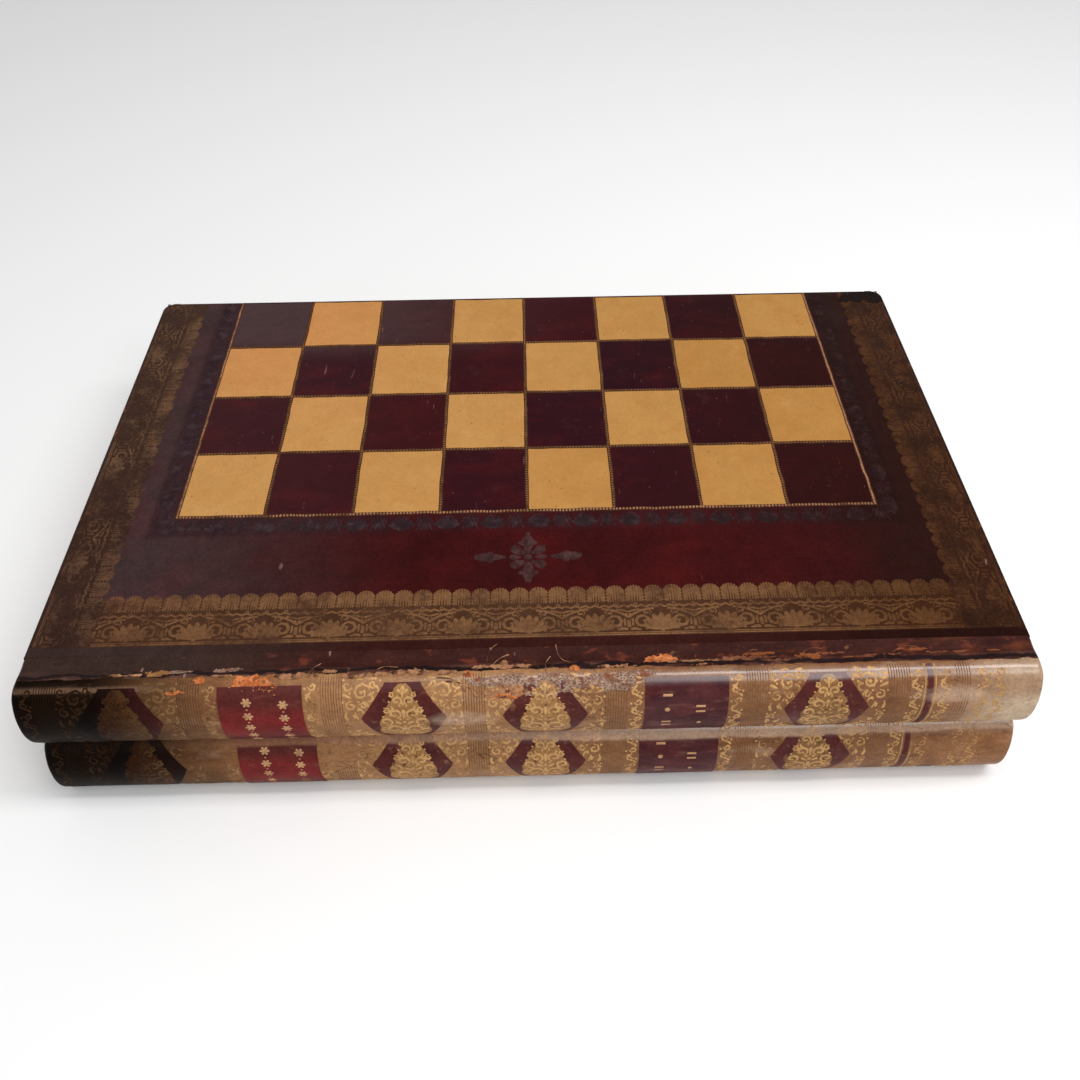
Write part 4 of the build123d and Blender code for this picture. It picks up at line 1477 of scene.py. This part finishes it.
SIDE_SHARE = 0.95
narrow = Matrix.Diagonal((1, SIDE_SHARE, 1, 1))
shell.data.transform(narrow)
band.data.transform(narrow)
sides = []
for side in (-1, 1):
    start, end = (side * roll_x, roll_y - 25.8 * MM), (side * roll_x, ends)
    sides += copies_along(shell, start, end, SHELL_PITCH, side * 90)
    sides += copies_along(band, start, end, BAND_PITCH, side * 90)
rules = mirrored([line((roll_x / MM + x, roll_y / MM - 25.8), (roll_x / MM + x, ends / MM), width)
                  for x, width in ((23.6, 0.5), (24.5, 0.8))])
side_rules = tooled("rules", rules)
side_rules.data.transform(Matrix.Translation((0, 0, TOP)))
dress_both(joined("sides", sides + [side_rules]), "gilt_roll_sides", side_gold)
for spare in (shell, band):
    bpy.data.objects.remove(spare)

# %% [markdown]
# The spines are gilt all over, as on a grand set of books. Each compartment has a lozenge with a plaque of
# scrolls, florets fill its corners, and narrow rules close it. Marks are in millimetres from the
# compartment's middle, with the height counted down from the crest. The plaque comes first: scrolls on both
# sides of a stem.

# %% The plaque's scrolls
plaque_marks = mirrored([
    curl((4.7, -31.2), 4.3, 250, -430, 1.4, 11),
    curl((7.6, -24.4), 3.1, 280, -400, 1.3),
    curl((3.9, -19.2), 3.1, 250, -400, 1.3),
    curl((2.6, -11.8), 2.4, 250, -400, 1.2, 8),
    curl((7.2, -17.2), 1.9, 60, 400, 1.0, 7),
    curl((9.0, -30.4), 1.9, 60, 400, 1.0, 7),
    curl((4.8, -9.0), 1.4, 60, 400, 0.9, 6),
    leaf((1.2, -36.6), (7.4, -36.8), 1.8, 0.18),
    leaf((1.0, -26.2), (3.8, -24.2), 1.3),
    leaf((5.0, -14.4), (4.0, -16.6), 1.1, 0.1),
    leaf((0.9, -8.2), (2.4, -6.6), 1.1, 0.2),
    dot(1.6, -22.8, 1.1), dot(5.6, -27.4, 1.1), dot(8.6, -20.8, 1.1),
    dot(1.4, -14.6, 1.0), dot(8.6, -34.0, 1.1), dot(5.8, -12.4, 0.9)])
plaque_marks += [
    leaf((0, -39.0), (0, -33.6), 2.2),
    leaf((0, -33), (0, -27.4), 1.7),
    leaf((0, -21.8), (0, -16.6), 1.7),
    leaf((0, -10.4), (0, -5.0), 2.0),
    dot(0, -13.6, 1.5), dot(0, -24.8, 1.6)]
print(len(plaque_marks), "marks on a plaque")

# %% [markdown]
# Curled florets fill a compartment's upper corners. The lower ones are the same upside down, a small trail
# stands at each side, and a row of leaves follows the lozenge's slanting edges.

# %% The florets round a lozenge
LOWER_TURN = -49.4


def upside_down(marks):
    """The marks turned over, top to bottom, within a compartment."""
    return [[(x, LOWER_TURN - y, width) for x, y, width in mark] for mark in marks]


corner_florets = mirrored([
    curl((17.0, -7.4), 4.2, 190, -420, 1.4),
    curl((22.9, -4.6), 2.4, 150, 380, 1.1, 7),
    curl((21.6, -13.6), 2.6, 100, -400, 1.1, 7),
    curl((12.4, -4.0), 1.9, 200, 400, 1.0, 6),
    curl((16.6, -13.6), 1.7, 20, 400, 0.9, 6),
    leaf((21.2, -9.8), (24.8, -8.0), 1.4),
    leaf((20.0, -17.0), (20.6, -20.4), 1.4),
    leaf((23.8, -16.8), (23.4, -21.6), 1.4, 0.15),
    leaf((14.4, -11.6), (12.2, -9.4), 1.3, 0.2),
    leaf((20.0, -1.8), (16.4, -1.6), 1.2),
    leaf((14.0, -1.8), (10.4, -1.4), 1.1),
    dot(17.2, -7.4, 1.6), dot(12.2, -7.4, 1.1), dot(24.8, -11.6, 1.1), dot(18.8, -15.8, 1.1),
    dot(24.8, -23.4, 1.1), dot(9.2, -2.4, 1.0), dot(21.8, -7.6, 1.0), dot(21.6, -22.8, 1.0),
    dot(18.4, -11.6, 1.0), dot(24.6, -2.0, 1.0)])
side_trails = mirrored([curl((23.4, -25.0), 1.9, 90, 400, 0.9, 6), leaf((22.8, -30.2), (24.8, -27.2), 1.1)])
edge_trail = []
for number in range(5):
    share = (number + 0.5) / 5
    x, y = 8.6 + 11.6 * share, -4.4 - 17.6 * share
    edge_trail += [leaf((x, y), (x + 2.4, y + 1.5), 1.3, 0.2), dot(x + 0.2, y - 0.4, 0.9)]
edge_trail = mirrored(edge_trail)
compartment_marks = corner_florets + upside_down(corner_florets) + side_trails
compartment_marks += edge_trail + upside_down(edge_trail)
print(len(compartment_marks), "marks round a lozenge")

# %% [markdown]
# Beside the labels, and towards the spine's ends, scrolls climb in columns. Groups of thin rules divide one
# compartment from the next, and one more group stands to the right of the band.

# %% Columns and rules
column_marks = []
for number in range(9):
    height, lean = -4.4 - number * 5.1, (1, -1)[number % 2]
    column_marks += [
        curl((lean * 0.7, height), 1.9, 90 + 90 * lean, lean * 380, 1.1, 6),
        dot(-lean * 2.3, height - 0.9, 1.1),
        leaf((lean * 0.4, height - 2.0), (-lean * 2.2, height - 3.6), 1.2, 0.2)]


def upright_rules(places, width=0.55):
    """Thin rules up the spine, at some places along it."""
    return [line((x, -SPINE_ARC / MM + 0.6), (x, -0.4), width, 40) for x in places]


FIRST_DIVISION = -201.1
COMPARTMENT = 59.2
RULE_OFFSETS = (-4.4, -3.3, -2.2, -1.1, 0, 1.1, 2.2, 3.3, 4.4)
divisions = [FIRST_DIVISION + COMPARTMENT * number for number in range(7)]
rule_places = [division + offset for division in divisions for offset in RULE_OFFSETS]
rule_places += [178.2 + 1.1 * number for number in range(6)]
spine_rules = lay_on_spine(tooled("rules", upright_rules(rule_places, 0.34)))
dress_both(spine_rules, "spine_rules", rule_brown, below=ONE_BELOW)

# %% [markdown]
# Now every stamp is set in its place along the spine, still flat. The whole drawing is wrapped at once, and
# a copy goes on the lower volume. The plaques' scrolls stand a little higher, because they lie on the
# plaques.

# %% The spines' gilding laid on
spine_marks = []
for middle in LOZENGES:
    spine_marks += placed(compartment_marks, middle / MM, 0)
for name, finish, margin in labels:
    low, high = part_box("upper_" + name)
    middle = (low.x + high.x) / 2 / MM
    for side in (-1, 1):
        spine_marks += placed(column_marks, middle + side * 21.0, 0)
for x in (161.4, 173.4, -209.0):
    spine_marks += placed(column_marks, x, 0)
spine_marks += placed(mirrored(placed(column_marks, 3.4, 0)), 193.0, 0)
spine_marks += upright_rules([165.0, 169.4])
gilding_piece = lay_on_spine(tooled("spine_gilding", spine_marks))
dress_both(gilding_piece, "spine_gilding", spine_gold, below=ONE_BELOW)

plaque_gilding = []
for middle in LOZENGES:
    plaque_gilding += placed(plaque_marks, middle / MM, 0)
plaque_gilding = [[(x, 0.92 * y - 0.3, width) for x, y, width in mark] for mark in plaque_gilding]
plaque_piece = tooled("plaque_gilding", plaque_gilding)
plaque_piece.data.transform(Matrix.Translation((0, 0, PLAQUE_LIFT)))
dress_both(lay_on_spine(plaque_piece), "plaque_gilding", spine_gold, below=ONE_BELOW)

# %% [markdown]
# The labels carry no words. Two columns of rosettes and dots stand where a title would be, and short bars
# and dots where a number would be.

# %% Marks on the labels
def rosette(x, y, size):
    """Six petals from one point."""
    spokes = [math.radians(60 * number) for number in range(6)]
    return [leaf((x, y), (x + size * math.cos(a), y + size * math.sin(a)), 0.55 * size) for a in spokes]


title_marks = []
for number in range(5):
    height = -10.6 - number * 7.0
    title_marks += rosette(-5.6, height, 2.2) + [dot(-5.6, height - 3.5, 0.8)]
    title_marks += rosette(9.4, height - 1.4, 2.2) + [dot(9.4, height - 4.9, 0.8)]
number_marks = []
for x, heights in ((-8.0, (-11.5, -27.5, -30.5)), (6.0, (-17.5, -20.5))):
    number_marks += [line((x - 2.0, height), (x + 2.0, height), 1.2) for height in heights]
number_marks += [dot(-8.0, -19.0, 2.2), dot(6.0, -29.0, 1.8)]
TITLE_MIDDLE = -112.3
NUMBER_MIDDLE = 65.3
both_labels = placed(title_marks, TITLE_MIDDLE, 0) + placed(number_marks, NUMBER_MIDDLE, 0)
label_marks = tooled("label_marks", both_labels)
label_marks.data.transform(Matrix.Translation((0, 0, LABEL_LIFT)))
dress_both(lay_on_spine(label_marks), "label_gilding", label_gold, below=ONE_BELOW)

# %% [markdown]
# The joint is where such a box wears out: the leather cracks along the crest, scraps lift and show their raw
# orange side, and the grain is scuffed grey. Each scrap starts as a small grid. Faces are deleted where a
# noise says so, which leaves a ragged outline, and what is near the outline curls up before the wrap and the
# thickness.

# %% Torn and scuffed leather
def scrap(middle_x, run, length, width, curl_up, seed):
    """A ragged scrap on the joint (negative run) or on the spine, sizes in millimetres."""
    x, up, half_length, half_width = middle_x * MM, -run * MM, length * MM / 2, width * MM / 2
    low, high = (x - half_length, up - half_width), (x + half_length, up + half_width)
    piece = flat_grid("scrap", low, high, 0.6 * MM)

    def outness(place):
        """How far out a place lies: 0 in the middle, about 1 on the ragged outline."""
        across = ((place.x - x) / half_length) ** 2 + ((place.y - up) / half_width) ** 2
        ragged = noise.noise(Vector((place.x * 210, place.y * 330, seed)))
        ragged += 0.6 * noise.noise(Vector((place.x * 700, place.y * 900, seed)))
        return across + 1.1 * ragged

    pick(piece, "FACE", lambda middle: outness(middle) > 0.8)
    bpy.ops.mesh.delete(type="FACE")
    bpy.ops.mesh.select_all(action="SELECT")
    bpy.ops.mesh.vertices_smooth(factor=0.5, repeat=3)
    leave()
    for vertex in piece.data.vertices:
        edge = max(0.0, outness(vertex.co))
        wrinkle = 0.12 * noise.noise(Vector((vertex.co.x * 500, vertex.co.y * 500, seed + 2)))
        vertex.co.z = (0.12 + wrinkle + curl_up * edge**2) * MM
    lay_on_spine(piece)
    return modify(piece, "SOLIDIFY", thickness=0.3 * MM, offset=-1)


def scraps(places, first_seed):
    """Several scraps as one piece: for each its middle along the spine, run, length, width and curl."""
    return joined("scraps", [scrap(*place, first_seed + 7 * number) for number, place in enumerate(places)])


print("scraps can be torn")

# %% [markdown]
# Three layers were read off the photograph, scrap by scrap: raw orange hide, pale frayed edges along the
# crack, and grey scuffs in the middle, where the box is taken hold of. The lower volume has a few worn edges
# too.

# %% The scraps on the joint
raw_places = [(-156, -3.5, 11, 4.4, 0.6), (-147, 5.6, 11, 2.4, 0.3), (-137, 1.0, 7, 4, 0.5),
              (-115, 2.4, 21, 8.6, 0.4), (-119, 6.0, 6, 4, 0.3), (-107, 6.6, 7, 4, 0.3),
              (-26, 0.4, 5, 3.4, 0.4), (-8, 10.0, 16, 3.6, 0.2), (18, -1.0, 6, 3.4, 0.5),
              (56, -5.5, 15, 5.4, 0.6), (51, -4.0, 8, 2.2, 0.6), (97, -7.0, 15, 2.0, 0.7),
              (118, -5.0, 15, 4.4, 0.6), (163, -7.5, 14, 1.6, 0.6)]
frayed_places = [(-9, 8.2, 27, 6.4, 0.15), (-98, -0.4, 20, 3.4, 0.9), (-86, -2.2, 14, 2.0, 1.0),
                 (-68, 0.0, 24, 3.2, 0.7), (-50, -0.8, 20, 2.8, 0.9), (-36, -0.4, 12, 2.4, 0.8),
                 (-11, -2.6, 30, 2.8, 1.0), (-11, -5.0, 5, 3.4, 1.2), (36, -1.6, 22, 2.0, 0.9),
                 (74, -1.5, 16, 1.6, 0.6), (92, -5.2, 26, 1.8, 0.9), (104, -3.0, 16, 1.6, 0.6),
                 (127, -6.6, 18, 1.5, 0.8), (150, -5.0, 20, 1.4, 0.7), (66, -3.6, 24, 1.6, 0.8),
                 (84, -3.8, 24, 1.6, 0.8), (138, -4.0, 26, 1.4, 0.7), (196, -6.4, 14, 1.3, 0.6),
                 (178, -6.0, 22, 1.5, 0.7), (-168, -2.5, 18, 1.6, 0.6), (-128, -1.0, 12, 1.6, 0.7)]
grey_places = [(-12, 3.6, 32, 5.6, 0.3), (12, 5.0, 28, 9.5, 0.3), (34, 5.4, 28, 8.4, 0.3),
               (4, 9.6, 18, 4.4, 0.3), (-148, -4.0, 14, 2.6, 0.3), (-126, -4.4, 20, 3, 0.3),
               (46, 2.0, 16, 3.4, 0.3)]
torn = ((raw_places, raw_hide, "torn_hide"), (frayed_places, frayed_hide, "frayed_edge"),
        (grey_places, scuffed_hide, "scuffs"))
for number, (places, finish, name) in enumerate(torn):
    piece = scraps(places, 11 + 100 * number)
    dress(piece, name, "upper", finish, smooth=60)
    print(name, "has", len(piece.data.polygons), "faces")
places_below = [(20, 2.5, 16, 3, 0.3), (-96, 2.0, 20, 2.6, 0.3), (140, 2.2, 26, 2.4, 0.3),
                (-30, 48.5, 26, 2.6, 0.2)]
worn_below = scraps(places_below, 400)
worn_below.data.transform(ONE_BELOW)
dress(worn_below, "frayed_edge", "lower", frayed_hide, smooth=60)

# %% [markdown]
# A few loose fibres cross the joint. Each is a thin curved mark that arches off the leather.

# %% Loose fibres
fibre_places = ((-16, -9.5, 9, 60), (-12, -6.5, 8, 35), (14, -8.5, 10, 125), (-60, -2.5, 10, 8),
                (-44, -2.0, 9, 170), (-33, 5.0, 14, -25), (-28, 7.5, 16, -30), (93, -6.5, 9, 30),
                (120, -7.5, 9, 12), (160, -7.0, 12, 10), (8, -3.5, 9, 80), (12, 5.0, 9, 86),
                (-90, -4.0, 7, 60))
fibres = []
for x, run, length, turn in fibre_places:
    thickness = 0.5 if run > 5 else 0.3
    arch = []
    for t in (n / 9 for n in range(10)):
        width = thickness + 0.16 * math.sin(9 * t)
        arch.append((length * (t - 0.5), 0.16 * length * math.sin(math.pi * t), width))
    fibres += placed([arch], x, -run, turn)
fibre_piece = tooled("fibres", fibres)
for vertex in fibre_piece.data.vertices:
    vertex.co.z += (0.35 + 0.5 * noise.noise(Vector((vertex.co.x * 300, vertex.co.y * 300, 3)))) * MM
dress(lay_on_spine(fibre_piece), "loose_fibres", "upper", frayed_hide, smooth=60)
print(len(fibres), "loose fibres")

# %% [markdown]
# One back corner of the cover has been patched with near-black leather, with a torn edge. It is the same
# kind of ragged grid, laid on the cover instead of the spine.

# %% The patched corner
patch_width, patch_depth = 27 * MM, 13 * MM
patch_x, patch_y = HALF - 1.2 * MM, COVER_BACK - 1.2 * MM
patch = flat_grid("patch", (patch_x - patch_width, patch_y - patch_depth), (patch_x, patch_y), 0.8 * MM)


def off_the_patch(place):
    """Past the torn edge, or off the cover's rounded corner."""
    inwards = max((patch_x - place.x) / patch_width, (patch_y - place.y) / patch_depth)
    corner = Vector((patch_x - CORNER, patch_y - CORNER))
    beyond = Vector((place.x - corner.x, place.y - corner.y))
    rounded = min(beyond) > 0 and beyond.length > CORNER
    return rounded or inwards + 0.35 * noise.noise(Vector((place.x * 160, place.y * 160, 8))) > 0.82


pick(patch, "FACE", off_the_patch)
bpy.ops.mesh.delete(type="FACE")
leave()
for vertex in patch.data.vertices:
    vertex.co.z = TOP + (0.16 + 0.08 * noise.noise(Vector((vertex.co.x * 240, vertex.co.y * 240, 4)))) * MM
modify(patch, "SOLIDIFY", thickness=0.3 * MM, offset=-1)
dress(patch, "corner_patch", "upper", repair_calf, smooth=60)
print("patched corner has", len(patch.data.polygons), "faces")

# %% [markdown]
# From the sides the volumes look like blocks of pages. The real walls are wood, scored with fine lines. A
# block's upright edges are cut into many short lengths, and every second loop is drawn in, which gives real
# grooves.

# %% Page edges
PAGE_PITCH = 1.05 * MM
PAGE_DEPTH = 0.18 * MM


def paged_wall(node):
    """One wall of a tray, scored all round so that it passes for the edges of pages."""
    low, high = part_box("upper_" + node)
    wall = block(node, low, high)
    cuts = round((high.z - low.z) / PAGE_PITCH) - 1
    pick(wall, "EDGE", lambda a, b: abs(a.z - b.z) > NEAR)
    bpy.ops.mesh.subdivide(number_cuts=cuts)
    leave()
    pitch = (high.z - low.z) / (cuts + 1)
    pick(wall, "VERT", lambda place: round((place.z - low.z) / pitch) % 2 == 1)
    size = high - low
    shrink = (1 - 2 * PAGE_DEPTH / size.x, 1 - 2 * PAGE_DEPTH / size.y, 1)
    bpy.ops.transform.resize(value=shrink, center_override=(low + high) / 2)
    leave()
    return wall


for node in ("head_wall", "tail_wall", "fore_edge_rail"):
    dress_both(paged_wall(node), node + "_pages", page_gilt, [node], smooth=20)

# %% [markdown]
# Some CAD parts have the right shape and only need softer edges, as leather and worn metal have. Their
# meshes are loose triangles, so a copy is merged and its flat faces joined before a bevel runs along the
# edges.

# %% Rims, points and hinge leaves with softened edges
def softened(node, finish, width):
    """A new piece in place of a CAD part, with its edges rounded over a width."""
    piece = copied(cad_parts[node])
    for key in list(piece.keys()):
        del piece[key]
    piece.parent = None
    piece.hide_render = piece.hide_viewport = False
    activate(piece)
    bpy.ops.object.mode_set(mode="EDIT")
    bpy.ops.mesh.select_all(action="SELECT")
    bpy.ops.mesh.remove_doubles(threshold=0.001 * MM)
    bpy.ops.mesh.dissolve_limited(angle_limit=math.radians(1))
    leave()
    modify(piece, "BEVEL", width=width, segments=2, limit_method="ANGLE", angle_limit=math.radians(40))
    volume, base = node.split("_", 1)
    dress(piece, base + "_softened", volume, finish, [base])


for volume in ("upper", "lower"):
    for base in ("rim_head", "rim_tail", "rim_spine", "rim_fore_edge"):
        softened(volume + "_" + base, rim_calf, 0.45 * MM)
    softened(volume + "_light_points", cream_point, 0.15 * MM)
    softened(volume + "_dark_points", red_point, 0.15 * MM)
    for base in ("leaf_left", "leaf_right"):
        softened(volume + "_" + base, brass, 0.12 * MM)
    print(volume, "volume's rims, points and leaves are softened")

# %% [markdown]
# The other CAD parts keep their own mesh and get a finish.

# %% Finishes on the CAD parts that stay
stay = {"table_lining": table_green, "wall_lining": wall_green, "spine_block": bare_pine,
        "cover_board": bare_pine, "hinge_screws": brass, "hinge_pin_left": brass, "hinge_pin_right": brass}
for node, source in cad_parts.items():
    for base, finish in stay.items():
        if node.endswith(base):
            source.data.materials.clear()
            source.data.materials.append(finish.material)
print("finishes set on the CAD parts")

# %% [markdown]
# Inside, two gold fillets run round the rim and one round the bar in the middle of the green field, where
# the cover's fleuron comes again, turned upright and larger. All are ruled with the same stamps as outside.

# %% Gold rules in the trays
table_low, table_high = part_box("upper_table_lining")
rim_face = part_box("upper_rim_head")[0].z
BAR_HALF = 34 * MM


def frame_rules(low, high, inset, width):
    """Four rules that make a rectangle, drawn in from two corners, in millimetres."""
    x0, y0, x1, y1 = low.x / MM + inset, low.y / MM + inset, high.x / MM - inset, high.y / MM - inset
    return [line((x0, y0), (x1, y0), width), line((x1, y0), (x1, y1), width),
            line((x1, y1), (x0, y1), width), line((x0, y1), (x0, y0), width)]


rim_corners = Vector((-HALF, rim_low.y, 0)), Vector((HALF, COVER_BACK, 0))
rim_rules = tooled("rim_rules", frame_rules(*rim_corners, 3.2, 0.7) + frame_rules(*rim_corners, 9.8, 0.5))
rim_rules.data.transform(Matrix.Translation((0, 0, rim_face)))
print("rim face at", round(rim_face / MM, 2))
dress_both(rim_rules, "rim_fillets", fillet_gold)
bar_corners = Vector((-BAR_HALF, table_low.y, 0)), Vector((BAR_HALF, table_high.y, 0))
bar_marks = frame_rules(*bar_corners, 3, 0.8)
bar_marks += placed(upright + lobes + arms, 0, (table_low.y + table_high.y) / 2 / MM, 90, 1.6)
table_marks = tooled("table_marks", bar_marks)
table_marks.data.transform(Matrix.Translation((0, 0, table_low.z)))
dress_both(table_marks, "table_fillets", fillet_gold)
